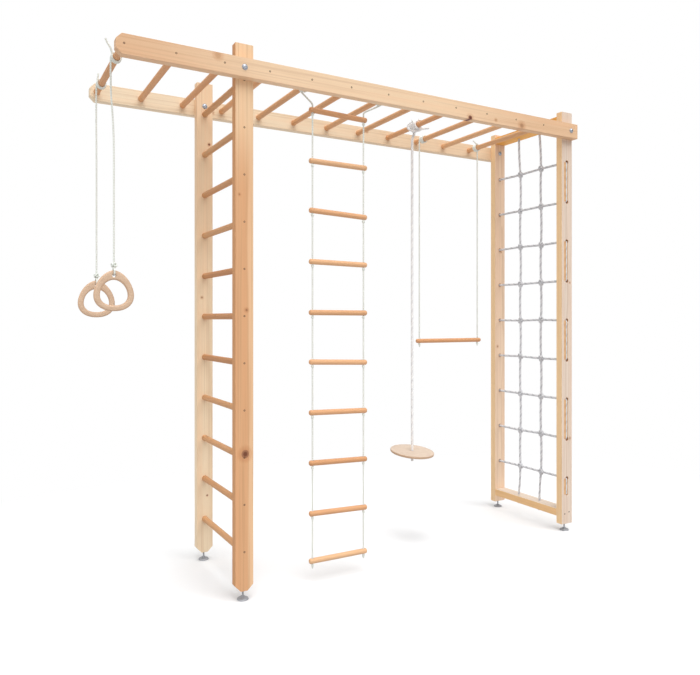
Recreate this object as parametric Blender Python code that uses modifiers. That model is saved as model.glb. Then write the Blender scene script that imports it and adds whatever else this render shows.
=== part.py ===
"""Indoor climbing frame: two wooden beams with monkey bars, carried by a ladder and by a
net frame, with a pair of rings, a rope ladder, a disc swing and a trapeze hung from the bars.

Metres, +Z up. X runs along the beams, Y from front to rear, and the origin is on the floor
below the middle of the object's box.
"""

import math

import bpy
import bmesh
import numpy as np
from mathutils import Matrix, Vector
from mathutils.geometry import interpolate_bezier

# Timber
TIMBER_THICKNESS = 0.040
TIMBER_WIDTH = 0.080
CLEAR_WIDTH = 0.510  # between the inner faces of a front post and a rear post
POST_TOP_HEIGHT = 2.360
FOOT_HEIGHT = 0.040  # from the floor to the lower ends of the posts
BEAM_BELOW_POST_TOP = 0.114  # from the post tops down to the beams' centre line
BEAM_CORNER_CUT = 0.022
LADDER_POST_CORNER_CUT = 0.025
BEAM_PAST_NET_POST = 0.001

# Monkey bars and ladder rungs
BAR_COUNT = 12
BAR_PITCH = 0.200
BAR_DIAMETER = 0.028
FIRST_BAR_FROM_BEAM_END = 0.030
LAST_BAR_TO_NET = 0.221
LADDER_BAY = 2  # the ladder stands midway between this bar and the next, counted from 0
RUNG_COUNT = 11
RUNG_DIAMETER = 0.028
TOP_RUNG_BELOW_BEAM = 0.040
LOWEST_RUNG_HEIGHT = 0.206
SOCKET_DEPTH = 0.018

# Climbing net
NET_ROPE_DIAMETER = 0.013
NET_ROW_COUNT = 9
NET_LOWEST_ROW = 0.295
NET_TOP_ROW_BELOW_POST_TOP = 0.281
NET_COLUMN_COUNT = 2
NET_KNOT_DIAMETER = 0.031
NET_KNOT_HEIGHT = 0.036
NET_LEAN = 0.013  # how far the knots of an upright rope hang frontward of its rail holes
NET_TAIL_LENGTH = 0.090
TOP_RAIL_BELOW_POST_TOP = 0.020
BOTTOM_RAIL_ABOVE_POST_END = 0.040

# Levelling feet
FOOT_PAD_DIAMETER = 0.050
FOOT_PAD_EDGE = 0.004
FOOT_PAD_HEIGHT = 0.014
FOOT_NECK_DIAMETER = 0.018
FOOT_NECK_HEIGHT = 0.006
FOOT_STUD_DIAMETER = 0.008
FOOT_STUD_IN_POST = 0.030
FOOT_TRAVEL_UP = 0.016

# Thin rope of the rings, the rope ladder and the trapeze, and the thick rope of the swing
THIN_ROPE_DIAMETER = 0.008
THICK_ROPE_DIAMETER = 0.014
KNOT_SWELL = 2.0  # a stopper knot's width in rope diameters
KNOT_LENGTH = 1.9  # a stopper knot's length in rope diameters
ROPE_END_LENGTH = 0.006  # the rope left below a stopper knot
TURN_PITCH = 1.11  # from one turn of a winding to the next, in rope diameters

# Rings
RING_WIDTH = 0.158
RING_THICKNESS = 0.020
RING_SIDE_BAND = 0.0247
RING_BOTTOM_BAND = 0.0236
RING_HOLE_DIAMETER = 0.015
RING_HOLE_BELOW_TOP = 0.0216
RING_OPENING_BELOW_HOLE = 0.0170
RING_OPENING_HEIGHT = 0.103
RING_EDGE_ROUND = 0.005
RING_LOOP_BEND = 0.0125
RING_LOOP_CLEARANCE = 0.0025
RING_KNOT_SWELL = 3.6  # the knot above a ring is thicker than a stopper knot
RING_KNOT_LENGTH = 2.5
RING_KNOT_LEAN = 0.006
RING_KNOT_ABOVE_LOOP = 0.029
RING_WRAP_TURNS = 3
RING_GATHER = 0.400  # height over which a ring's rope comes in from its bar's side
RING_LEFT_OF_BAR = {"front": 0.006, "rear": 0.018}  # where the ropes hang below that
RING_FROM_POST_FACE = {"front": 0.095, "rear": 0.065}
RING_DROP = {"front": 0.874, "rear": 0.898}  # from the bar's axis to the rope in the ring
RING_TAIL = {"front": (-0.026, 0.063), "rear": (0.003, 0.040)}  # across and up from the bar

# Rope ladder
LADDER_ROPE_BARS = (4, 6)
STEP_COUNT = 10
STEP_DIAMETER = 0.025
STEP_HOLE_SPACING = 0.270
STEP_PAST_HOLE = 0.0165
STEP_HOLE_CLEARANCE = 0.0010
TOP_STEP_BELOW_BEAM = 0.103
STEP_PITCH = 0.230
LAST_STEP_PITCH = 0.212  # the lowest step is tied closer to the one above it
STEP_TILTS_DEG = (1.5, 0.5, 2.4, 1.0, 0.2, 2.0, 1.6, 1.8, 1.7, 0.1)
ROPE_LADDER_BEHIND_BEAM = 0.052
ROPE_LADDER_LEFT = 0.018  # from the middle between its two bars towards the rings
LADDER_ROPE_BEND = 0.012  # how far above the top step's inlets the ropes bend down
EYE_SLACK = 0.0030  # how much wider an eye of the rope ladder is than a tight turn
EYE_TOP_GAP = 0.0008
EYE_TAIL = 0.020

# Disc swing
SWING_BAR = 8
SWING_BEHIND_BEAM = 0.343
SWING_DROP = 1.779  # from the bar's axis to the middle of the disc
SWING_WRAP_TURNS = 4  # the first of them less a quarter
SWING_TAIL = (0.062, 0.010)  # across from the bar and up
SWING_GATHER = 0.085  # height over which the rope comes in under the bar
DISC_DIAMETER = 0.240
DISC_THICKNESS = 0.0125
DISC_EDGE_ROUND = 0.003
DISC_HOLE_CLEARANCE = 0.0017
DISC_TILT_DEG = 7.5  # the disc hangs lower at its front
DISC_TILT_TURN_DEG = 17.0  # and a little to the net's side

# Trapeze
TRAPEZE_BARS = (9, 11)
TRAPEZE_BEFORE_BEAM = 0.060
TRAPEZE_DROP = 1.180  # from the monkey bars' axis to the trapeze's axis
TRAPEZE_DIAMETER = 0.025
TRAPEZE_PAST_HOLE = 0.022
TRAPEZE_HOLE_CLEARANCE = 0.0005
TRAPEZE_WRAP_TURNS = 3  # and a quarter more
TRAPEZE_TAIL = (0.040, 0.016)  # across from the bar and up

# Fits and facets
FIT_GAP = 0.0003  # between pieces that touch
CUT_MARGIN = 0.005  # how far a cutter stands past the face it opens
DOWEL_SIDES = 12
HOLE_SIDES = 8
NET_HOLE_TURN_DEG = 4.0
TURNED_SIDES = 12
DISC_SIDES = 32
LOOP_POINTS = 24
BEND_STEPS = 5  # pieces in a quarter bend of a ring rope
NET_BEND_STEPS = 3  # pieces in a quarter bend of the net
EASE_STEPS = 7  # pieces in a rope's smooth run from one heading to another
ROPE_STEP = 0.35  # longest straight run between two points of a rope
PLAIN_ROPE_SIDES = 8
WOUND_ROPE_SIDES = 6  # of a rope with turns, and of the net

# Worked out from the sizes above
BAR_RADIUS = BAR_DIAMETER / 2
THIN_RADIUS = THIN_ROPE_DIAMETER / 2
THICK_RADIUS = THICK_ROPE_DIAMETER / 2
NET_RADIUS = NET_ROPE_DIAMETER / 2
THIN_ADVANCE = TURN_PITCH * THIN_ROPE_DIAMETER
THICK_ADVANCE = TURN_PITCH * THICK_ROPE_DIAMETER
THIN_WRAP_RADIUS = BAR_RADIUS + FIT_GAP + THIN_RADIUS
THICK_WRAP_RADIUS = BAR_RADIUS + FIT_GAP + THICK_RADIUS
BEAM_Z = POST_TOP_HEIGHT - BEAM_BELOW_POST_TOP
POST_INNER_Y = CLEAR_WIDTH / 2
POST_OUTER_Y = POST_INNER_Y + TIMBER_THICKNESS
BEAM_INNER_Y = POST_OUTER_Y + FIT_GAP
BEAM_TO_NET = FIRST_BAR_FROM_BEAM_END + (BAR_COUNT - 1) * BAR_PITCH + LAST_BAR_TO_NET
BEAM_LENGTH = BEAM_TO_NET + TIMBER_WIDTH / 2 + BEAM_PAST_NET_POST
RING_REACH = max(RING_LEFT_OF_BAR.values()) + RING_WIDTH / 2  # from the bar to the far side
FIRST_BAR_X = (FIRST_BAR_FROM_BEAM_END + RING_REACH - BEAM_LENGTH) / 2
BEAM_LEFT_X = FIRST_BAR_X - FIRST_BAR_FROM_BEAM_END
LADDER_X = FIRST_BAR_X + (LADDER_BAY + 0.5) * BAR_PITCH
NET_X = BEAM_LEFT_X + BEAM_TO_NET
TOP_RUNG_Z = BEAM_Z - TOP_RUNG_BELOW_BEAM
RUNG_PITCH = (TOP_RUNG_Z - LOWEST_RUNG_HEIGHT) / (RUNG_COUNT - 1)
NET_TOP_ROW = POST_TOP_HEIGHT - NET_TOP_ROW_BELOW_POST_TOP
NET_ROW_PITCH = (NET_TOP_ROW - NET_LOWEST_ROW) / (NET_ROW_COUNT - 1)
NET_GROOVE_DEPTH = NET_ROPE_DIAMETER + 2 * FIT_GAP
NET_GROOVE_Y = POST_OUTER_Y - NET_GROOVE_DEPTH / 2
TOP_RAIL_Z = POST_TOP_HEIGHT - TOP_RAIL_BELOW_POST_TOP - TIMBER_THICKNESS / 2
BOTTOM_RAIL_Z = FOOT_HEIGHT + BOTTOM_RAIL_ABOVE_POST_END + TIMBER_THICKNESS / 2
TOP_STEP_Z = BEAM_Z - TOP_STEP_BELOW_BEAM
ROPE_LADDER_X = FIRST_BAR_X + sum(LADDER_ROPE_BARS) / 2 * BAR_PITCH - ROPE_LADDER_LEFT
ROPE_LADDER_Y = -BEAM_INNER_Y + ROPE_LADDER_BEHIND_BEAM
DISC_TILT = math.radians(DISC_TILT_DEG)
SWING_Y = -BEAM_INNER_Y + SWING_BEHIND_BEAM
TRAPEZE_Y = BEAM_INNER_Y - TRAPEZE_BEFORE_BEAM
SIDES = {"front": -1, "rear": 1}

# Finishes: name, base colour, roughness and metallic value
PINE = ("pine", (0.84, 0.64, 0.42), 0.55, 0.0)
DOWEL_WOOD = ("dowel_wood", (0.60, 0.31, 0.14), 0.50, 0.0)
PLYWOOD = ("plywood", (0.72, 0.50, 0.33), 0.50, 0.0)
THIN_ROPE = ("thin_rope", (0.74, 0.77, 0.69), 0.85, 0.0)
THICK_ROPE = ("thick_rope", (0.66, 0.65, 0.62), 0.90, 0.0)
ZINC = ("zinc", (0.62, 0.63, 0.65), 0.35, 1.0)


def bar_x(index):
    """The place of a monkey bar along the frame, counted from 0 at the ring end."""
    return FIRST_BAR_X + index * BAR_PITCH


def flat_radius(radius, sides):
    """The corner radius of a polygon whose flats lie at the given radius."""
    return radius / math.cos(math.pi / sides)


# Scene helpers


def clear_scene():
    for obj in list(bpy.data.objects):
        bpy.data.objects.remove(obj, do_unlink=True)


def make_collection(name):
    collection = bpy.data.collections.new(name)
    bpy.context.scene.collection.children.link(collection)
    return collection


def finish_material(finish):
    name, colour, roughness, metallic = finish
    if name in bpy.data.materials:
        return bpy.data.materials[name]
    material = bpy.data.materials.new(name)
    material.use_nodes = True
    shader = material.node_tree.nodes["Principled BSDF"]
    shader.inputs["Base Color"].default_value = (*colour, 1.0)
    shader.inputs["Roughness"].default_value = roughness
    shader.inputs["Metallic"].default_value = metallic
    material.diffuse_color = (*colour, 1.0)
    return material


def hold(obj, pivot):
    """Makes a piece move with a pivot empty, and leaves it where it is."""
    bpy.context.view_layer.update()
    obj.parent = pivot
    obj.matrix_parent_inverse = pivot.matrix_world.inverted()


def add_pivot(name, place, parent=None):
    """An empty on a joint's axis, which carries the pieces that move together."""
    pivot = bpy.data.objects.new(name, None)
    pivot.location = place
    pivot.empty_display_size = TIMBER_WIDTH
    parts.objects.link(pivot)
    if parent is not None:
        hold(pivot, parent)
    return pivot


def add_part(name, data, place, finish, pivot=None):
    """Puts a piece in the object's collection."""
    obj = bpy.data.objects.new(name, data)
    obj.location = place
    data.materials.append(finish_material(finish))
    if isinstance(data, bpy.types.Mesh):
        data.shade_smooth()
        data.set_sharp_from_angle(angle=math.radians(40))
    parts.objects.link(obj)
    if pivot is not None:
        hold(obj, pivot)
    return obj


def add_cutter(name, mesh, place):
    cutter = bpy.data.objects.new(name, mesh)
    cutter.location = place
    cutter.hide_render = True
    cutter.display_type = "WIRE"
    cutters.objects.link(cutter)
    return cutter


def cut_out(obj, name, shapes):
    """Takes shapes, given as (mesh, place) pairs that don't touch each other, out of a piece."""

    def build(bm):
        for mesh, place in shapes:
            moved = mesh.copy()
            moved.transform(Matrix.Translation(place))
            bm.from_mesh(moved)
            bpy.data.meshes.remove(moved)

    combine(obj, add_cutter(name, mesh_with(name, build), (0.0, 0.0, 0.0)), "DIFFERENCE")


def combine(obj, other, operation):
    modifier = obj.modifiers.new(other.name, "BOOLEAN")
    modifier.operation = operation
    modifier.object = other
    modifier.solver = "EXACT"


# Shapes


def mesh_with(name, build):
    """A mesh filled in by build, which gets an empty bmesh."""
    mesh = bpy.data.meshes.new(name)
    bm = bmesh.new()
    build(bm)
    bm.to_mesh(mesh)
    bm.free()
    return mesh


def rod_mesh(name, radius, length, sides, along):
    """A cylinder about its own middle, along X, Y or Z."""
    turns = {
        "X": Matrix.Rotation(math.pi / 2, 4, "Y"),
        "Y": Matrix.Rotation(math.pi / 2, 4, "X"),
        "Z": Matrix.Identity(4),
    }

    def build(bm):
        bmesh.ops.create_cone(
            bm,
            cap_ends=True,
            segments=sides,
            radius1=radius,
            radius2=radius,
            depth=length,
            matrix=turns[along],
        )

    return mesh_with(name, build)


def box_mesh(name, size):
    def build(bm):
        bmesh.ops.create_cube(bm, size=1.0, matrix=Matrix.Diagonal((*size, 1.0)))

    return mesh_with(name, build)


def mesh_of_curve(curve):
    """The curve's evaluated mesh, with its caps welded on."""
    guide = bpy.data.objects.new(curve.name, curve)
    cutters.objects.link(guide)
    graph = bpy.context.evaluated_depsgraph_get()
    mesh = bpy.data.meshes.new_from_object(guide.evaluated_get(graph))
    bm = bmesh.new()
    bm.from_mesh(mesh)
    bmesh.ops.remove_doubles(bm, verts=bm.verts, dist=1e-6)
    bmesh.ops.recalc_face_normals(bm, faces=bm.faces)
    bm.to_mesh(mesh)
    bm.free()
    bpy.data.objects.remove(guide)
    return mesh


def plate_mesh(name, loops, thickness, edge_round=0.0):
    """A flat plate with closed outlines in X and Z, centred on Y."""
    curve = bpy.data.curves.new(name, "CURVE")
    curve.dimensions = "2D"
    curve.fill_mode = "BOTH"
    curve.extrude = thickness / 2 - edge_round
    curve.bevel_depth = edge_round
    curve.bevel_resolution = 1
    curve.offset = -edge_round
    for loop in loops:
        spline = curve.splines.new("POLY")
        spline.points.add(len(loop) - 1)
        for point, (x, z) in zip(spline.points, loop):
            point.co = (x, z, 0.0, 1.0)
        spline.use_cyclic_u = True
    mesh = mesh_of_curve(curve)
    mesh.transform(Matrix.Rotation(math.pi / 2, 4, "X"))
    return mesh


def turned_part(name, profile, sides, place, finish, pivot, closed=False):
    """A profile of (radius, height) points, run from top to bottom, turned about Z."""

    def build(bm):
        verts = [bm.verts.new((radius, 0.0, height)) for radius, height in profile]
        ends = verts[1:] + verts[:1] if closed else verts[1:]
        for start, end in zip(verts, ends):
            bm.edges.new((start, end))

    obj = add_part(name, mesh_with(name, build), place, finish, pivot)
    screw = obj.modifiers.new("turn", "SCREW")
    screw.axis = "Z"
    screw.steps = sides
    screw.render_steps = sides
    screw.use_merge_vertices = True
    screw.merge_threshold = 1e-5
    screw.use_smooth_shade = True
    return obj


def rope_curve(name, route, radius, sides):
    """A tube along a route of (point, width) pairs, where width 1 is the plain rope."""
    curve = bpy.data.curves.new(name, "CURVE")
    curve.dimensions = "3D"
    curve.bevel_depth = radius
    curve.bevel_resolution = sides // 2 - 2
    curve.use_fill_caps = True
    spline = curve.splines.new("POLY")
    spline.points.add(len(route) - 1)
    for point, (place, width) in zip(spline.points, route):
        point.co = (*place, 1.0)
        point.radius = width
    return curve


def add_rope(name, route, radius, sides, finish, pivot_place, pivot=None):
    """A rope whose origin is on the axis that it swings about."""
    origin = Vector(pivot_place)
    local = [(place - origin, width) for place, width in route]
    return add_part(name, rope_curve(name, local, radius, sides), origin, finish, pivot)


# Routes of ropes, as lists of points or of (point, width) pairs


def plain(points):
    return [(Vector(point), 1.0) for point in points]


def straight(start, end):
    """Points from start to end, both included, close enough together for a rope."""
    start, end = Vector(start), Vector(end)
    count = max(1, math.ceil((end - start).length / ROPE_STEP))
    return [start.lerp(end, i / count) for i in range(count + 1)]


def winding(centre, radius, start, turns, sense, advance):
    """Turns round an axis along Y, from an angle above +X, advancing along Y each turn."""
    points = []
    for i in range(round(turns * LOOP_POINTS) + 1):
        share = i / LOOP_POINTS
        angle = start + sense * share * 2 * math.pi
        offset = (radius * math.cos(angle), advance * share, radius * math.sin(angle))
        points.append(Vector(centre) + Vector(offset))
    return points


def winding_slope(radius, advance):
    """How far a winding runs along its axis for each metre of its rope."""
    return Vector((0, advance / (2 * math.pi * radius), 0))


def tail(tip_offset, start, heading, radius, advance):
    """A loose end that comes in to the start of a winding along the winding's own slope."""
    slope = winding_slope(radius, advance)
    offset = Vector(tip_offset)
    tip = Vector(start) + offset - slope * offset.length
    return easing(tip, -offset, start, Vector(heading) + slope)[:-1]


def easing(start, start_heading, end, end_heading, end_reach=None):
    """A smooth run from start to end, along the two headings at its ends.

    end_reach is how far from the end its heading is felt: half the run where none is given.
    """
    start, end = Vector(start), Vector(end)
    handle = (end - start).length / 2
    first = start + Vector(start_heading).normalized() * handle
    last = end - Vector(end_heading).normalized() * (end_reach or handle)
    return interpolate_bezier(start, first, last, end, EASE_STEPS + 1)


def quarter_bend(corner, heading_in, heading_out, radius, steps):
    """Points round a corner, from one heading to another at right angles to it."""
    heading_in, heading_out = Vector(heading_in), Vector(heading_out)
    hub = Vector(corner) + (heading_out - heading_in) * radius
    points = []
    for i in range(steps + 1):
        angle = i / steps * math.pi / 2
        outward = heading_in * math.sin(angle) - heading_out * math.cos(angle)
        points.append(hub + outward * radius)
    return points


def knot(top, radius, swell=KNOT_SWELL, length=KNOT_LENGTH, lean=0.0):
    """A knot below a point. Its width and length are in rope diameters; its foot leans frontward."""
    shape = ((0.0, 1.0), (0.2, swell), (0.8, swell), (1.0, 1.0))
    fall = Vector((0, -lean, -length * 2 * radius))
    return [(Vector(top) + fall * share, width) for share, width in shape]


def rope_end(below):
    return (Vector(below) - Vector((0, 0, ROPE_END_LENGTH)), 1.0)


def report_self_gap(name, route, radius):
    """Prints the least gap between stretches of one rope that are apart along it."""
    places = np.array([place for place, _ in route])
    widths = np.array([width for _, width in route])
    shares = np.linspace(0, 1, 6)[:-1, None]
    dense = np.concatenate([a + (b - a) * shares for a, b in zip(places, places[1:])])
    swell = np.concatenate([a + (b - a) * shares[:, 0] for a, b in zip(widths, widths[1:])])
    steps = np.linalg.norm(np.diff(dense, axis=0), axis=1)
    along = np.concatenate([[0.0], np.cumsum(steps)])
    apart = np.abs(along[:, None] - along[None, :]) > 2 * math.pi * radius
    reach = np.linalg.norm(dense[:, None] - dense[None, :], axis=2)
    gap = (reach - radius * (swell[:, None] + swell[None, :]))[apart].min()
    print(f"{name}: least gap to itself {gap * 1000:.2f} mm")


# Timber frame


def socket_cutter(name, diameter, depth):
    """A cutter along Y for the end of a dowel, centred on the face that it opens."""
    radius = flat_radius(diameter / 2 + FIT_GAP, DOWEL_SIDES)
    return rod_mesh(name, radius, 2 * depth, DOWEL_SIDES, "Y")


def add_beams():
    half = TIMBER_WIDTH / 2
    cut = BEAM_CORNER_CUT
    outline = [
        (0.0, half - cut),
        (0.0, cut - half),
        (cut, -half),
        (BEAM_LENGTH, -half),
        (BEAM_LENGTH, half),
        (cut, half),
    ]
    socket = socket_cutter("bar_socket", BAR_DIAMETER, SOCKET_DEPTH)
    for side, sign in SIDES.items():
        mesh = plate_mesh(f"{side}_beam", [outline], TIMBER_THICKNESS)
        y = sign * (BEAM_INNER_Y + TIMBER_THICKNESS / 2)
        beam = add_part(f"{side}_beam", mesh, (BEAM_LEFT_X, y, BEAM_Z), PINE)
        places = [(bar_x(i), sign * BEAM_INNER_Y, BEAM_Z) for i in range(BAR_COUNT)]
        cut_out(beam, f"{side}_bar_sockets", [(socket, place) for place in places])


def add_monkey_bars():
    length = 2 * (BEAM_INNER_Y + SOCKET_DEPTH - FIT_GAP)
    for i in range(BAR_COUNT):
        name = f"monkey_bar_{i + 1:02d}"
        mesh = rod_mesh(name, BAR_RADIUS, length, DOWEL_SIDES, "Y")
        add_part(name, mesh, (bar_x(i), 0.0, BEAM_Z), DOWEL_WOOD)


def stud_hole():
    """A cutter for the blind hole that goes up into the lower end of a post, for a foot's stud."""
    depth = FOOT_STUD_IN_POST + FOOT_TRAVEL_UP + FIT_GAP
    radius = flat_radius(FOOT_STUD_DIAMETER / 2 + FIT_GAP, HOLE_SIDES)
    return rod_mesh("stud_hole", radius, 2 * depth, HOLE_SIDES, "Z")


def add_ladder():
    half = TIMBER_WIDTH / 2
    cut = LADDER_POST_CORNER_CUT
    outline = [
        (-half, FOOT_HEIGHT + cut),
        (cut - half, FOOT_HEIGHT),
        (half - cut, FOOT_HEIGHT),
        (half, FOOT_HEIGHT + cut),
        (half, POST_TOP_HEIGHT),
        (-half, POST_TOP_HEIGHT),
    ]
    heights = [TOP_RUNG_Z - i * RUNG_PITCH for i in range(RUNG_COUNT)]
    socket = socket_cutter("rung_socket", RUNG_DIAMETER, SOCKET_DEPTH)
    for side, sign in SIDES.items():
        name = f"ladder_post_{side}"
        y = sign * (POST_INNER_Y + TIMBER_THICKNESS / 2)
        post = add_part(name, plate_mesh(name, [outline], TIMBER_THICKNESS), (LADDER_X, y, 0.0), PINE)
        cuts = [(socket, (LADDER_X, sign * POST_INNER_Y, z)) for z in heights]
        cuts.append((stud_hole(), (LADDER_X, y, FOOT_HEIGHT)))
        cut_out(post, f"{name}_sockets", cuts)
    length = 2 * (POST_INNER_Y + SOCKET_DEPTH - FIT_GAP)
    for i, z in enumerate(heights):
        name = f"ladder_rung_{i + 1:02d}"
        mesh = rod_mesh(name, RUNG_DIAMETER / 2, length, DOWEL_SIDES, "Y")
        add_part(name, mesh, (LADDER_X, 0.0, z), DOWEL_WOOD)


def add_feet():
    """Threaded feet, each with a round pad, a neck and a stud that screws into its post."""
    pad = FOOT_PAD_DIAMETER / 2
    neck = FOOT_NECK_DIAMETER / 2
    stud = FOOT_STUD_DIAMETER / 2
    top = FOOT_HEIGHT + FOOT_STUD_IN_POST
    shoulder = FOOT_PAD_HEIGHT + FOOT_NECK_HEIGHT
    profile = [
        (0.0, top),
        (stud, top),
        (stud, shoulder),
        (neck, shoulder),
        (neck, FOOT_PAD_HEIGHT),
        ((pad + neck) / 2, (FOOT_PAD_HEIGHT + FOOT_PAD_EDGE) / 2 + FOOT_PAD_EDGE / 2),
        (pad, FOOT_PAD_EDGE),
        (pad, 0.0),
        (0.0, 0.0),
    ]
    for frame, x in (("ladder", LADDER_X), ("net", NET_X)):
        for side, sign in SIDES.items():
            place = (x, sign * (POST_INNER_Y + TIMBER_THICKNESS / 2), 0.0)
            pivot = add_pivot(f"{frame}_foot_{side}_slide", place)
            turned_part(f"{frame}_foot_{side}", profile, TURNED_SIDES, place, ZINC, pivot)


# Net frame


def row_height(row):
    """The height of a net row, counted from 0 at the lowest."""
    return NET_LOWEST_ROW + row * NET_ROW_PITCH


def groove_spans(sign):
    """The heights between which the net rope runs along the outer face of a post."""
    first = 1 if sign < 0 else 0
    spans = [(row_height(i), row_height(i + 1)) for i in range(first, NET_ROW_COUNT - 1, 2)]
    if sign < 0:
        spans.append((NET_LOWEST_ROW - NET_TAIL_LENGTH, NET_LOWEST_ROW))
    if (sign < 0) != (NET_ROW_COUNT % 2 == 1):
        spans.append((NET_TOP_ROW, NET_TOP_ROW + NET_TAIL_LENGTH))
    return spans


def net_hole(radius, row):
    """A cutter for a row's hole, turned against the row below so that no corners line up."""
    length = TIMBER_THICKNESS + 2 * CUT_MARGIN
    mesh = rod_mesh("net_hole", flat_radius(radius, HOLE_SIDES), length, HOLE_SIDES, "Y")
    mesh.transform(Matrix.Rotation(row * math.radians(NET_HOLE_TURN_DEG), 4, "Y"))
    return mesh


def add_net_posts():
    height = POST_TOP_HEIGHT - FOOT_HEIGHT
    middle = (POST_TOP_HEIGHT + FOOT_HEIGHT) / 2
    slot = NET_RADIUS + FIT_GAP
    rows = range(NET_ROW_COUNT)
    for side, sign in SIDES.items():
        name = f"net_post_{side}"
        y = sign * (POST_INNER_Y + TIMBER_THICKNESS / 2)
        size = (TIMBER_WIDTH, TIMBER_THICKNESS, height)
        post = add_part(name, box_mesh(name, size), (NET_X, y, middle), PINE)
        grooves = []
        margin = flat_radius(slot, HOLE_SIDES) + FIT_GAP
        for low, high in groove_spans(sign):
            size = (2 * margin, 2 * NET_GROOVE_DEPTH, high - low + 2 * margin)
            place = (NET_X, sign * POST_OUTER_Y, (low + high) / 2)
            grooves.append((box_mesh("groove", size), place))
        cut_out(post, f"{name}_grooves", grooves)
        holes = [(net_hole(slot, row), (NET_X, y, row_height(row))) for row in rows]
        holes.append((stud_hole(), (NET_X, y, FOOT_HEIGHT)))
        cut_out(post, f"{name}_holes", holes)


def column_ys():
    """The places of the net's upright ropes, which share the clear width evenly."""
    share = CLEAR_WIDTH / (NET_COLUMN_COUNT + 1)
    return [share * (i + 1) - POST_INNER_Y for i in range(NET_COLUMN_COUNT)]


def add_net_rails():
    size = (TIMBER_WIDTH, CLEAR_WIDTH - 2 * FIT_GAP, TIMBER_THICKNESS)
    radius = flat_radius(NET_RADIUS + FIT_GAP, HOLE_SIDES)
    hole = rod_mesh("rail_hole", radius, TIMBER_THICKNESS + 2 * CUT_MARGIN, HOLE_SIDES, "Z")
    for name, z in (("net_top_rail", TOP_RAIL_Z), ("net_bottom_rail", BOTTOM_RAIL_Z)):
        rail = add_part(name, box_mesh(name, size), (NET_X, 0.0, z), PINE)
        cut_out(rail, f"{name}_holes", [(hole, (NET_X, y, z)) for y in column_ys()])


def net_rope_route():
    """One rope that runs to and fro through the posts, from the lowest row to the top one."""
    up = Vector((0, 0, 1))
    bend = NET_RADIUS + FIT_GAP
    route = [Vector((NET_X, -NET_GROOVE_Y, NET_LOWEST_ROW - NET_TAIL_LENGTH))]
    sign = -1
    for row in range(NET_ROW_COUNT):
        across = Vector((0, -sign, 0))
        start = Vector((NET_X, sign * NET_GROOVE_Y, row_height(row)))
        end = Vector((NET_X, -sign * NET_GROOVE_Y, row_height(row)))
        route += quarter_bend(start, up, across, bend, NET_BEND_STEPS)
        route += quarter_bend(end, across, up, bend, NET_BEND_STEPS)
        sign = -sign
    route.append(route[-1] + up * (NET_TAIL_LENGTH - bend))
    return plain(route)


def net_column_route(y):
    """An upright rope of the net, swollen into a knot at each row and beyond each rail."""
    swell = NET_KNOT_DIAMETER / NET_ROPE_DIAMETER
    half = NET_KNOT_HEIGHT / 2
    past_rail = TIMBER_THICKNESS / 2 + FIT_GAP
    ends = []
    for rail, outward in ((BOTTOM_RAIL_Z, -1), (TOP_RAIL_Z, 1)):
        steps = (past_rail, past_rail + NET_RADIUS, past_rail + NET_ROPE_DIAMETER)
        shape = [(-past_rail, 1.0), *zip(steps, (1.0, swell, 1.0))]
        ends.append([(Vector((NET_X, y, rail + outward * z)), width) for z, width in shape])
    route = ends[0][::-1]
    for row in range(NET_ROW_COUNT):
        for offset, width in ((-half, 1.0), (0.0, swell), (half, 1.0)):
            route.append((Vector((NET_X, y - NET_LEAN, row_height(row) + offset)), width))
    return route + ends[1]


def add_net():
    rope = rope_curve("net_rope", net_rope_route(), NET_RADIUS, WOUND_ROPE_SIDES)
    net = add_part("climbing_net", mesh_of_curve(rope), (0.0, 0.0, 0.0), THICK_ROPE)
    for i, y in enumerate(column_ys()):
        column = rope_curve(f"net_column_{i + 1}", net_column_route(y), NET_RADIUS, WOUND_ROPE_SIDES)
        cutter = add_cutter(f"net_column_{i + 1}", mesh_of_curve(column), (0.0, 0.0, 0.0))
        combine(net, cutter, "UNION")


# Rings


def egg_outline(width, top, widest, bottom, upper_power, lower_power, count):
    """A closed outline round the Z axis: pointed above its widest height and fuller below."""
    points = []
    for i in range(count):
        angle = 2 * math.pi * i / count
        across, upward = math.sin(angle), math.cos(angle)
        power = upper_power if upward > 0 else lower_power
        height = top - widest if upward > 0 else widest - bottom
        x = width / 2 * math.copysign(abs(across) ** (2 / power), across)
        z = widest + height * math.copysign(abs(upward) ** (2 / power), upward)
        points.append((x, z))
    return points


def circle_outline(radius, sides):
    corner = flat_radius(radius, sides)
    angles = [2 * math.pi * (i + 0.5) / sides for i in range(sides)]
    return [(corner * math.sin(angle), corner * math.cos(angle)) for angle in angles]


def ring_mesh(name):
    """A ring about the middle of its rope hole: a broad top, thinner sides and a bowed foot."""
    opening_top = -RING_OPENING_BELOW_HOLE
    opening_bottom = opening_top - RING_OPENING_HEIGHT
    bottom = opening_bottom - RING_BOTTOM_BAND
    widest = opening_bottom + 0.4 * RING_OPENING_HEIGHT
    opening_width = RING_WIDTH - 2 * RING_SIDE_BAND
    outer = egg_outline(RING_WIDTH, RING_HOLE_BELOW_TOP, widest, bottom, 1.75, 2.2, 30)
    opening = egg_outline(opening_width, opening_top, widest, opening_bottom, 1.9, 2.3, 24)
    hole = circle_outline(RING_HOLE_DIAMETER / 2, HOLE_SIDES)
    return plate_mesh(name, [outer, opening, hole], RING_THICKNESS, RING_EDGE_ROUND)


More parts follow.
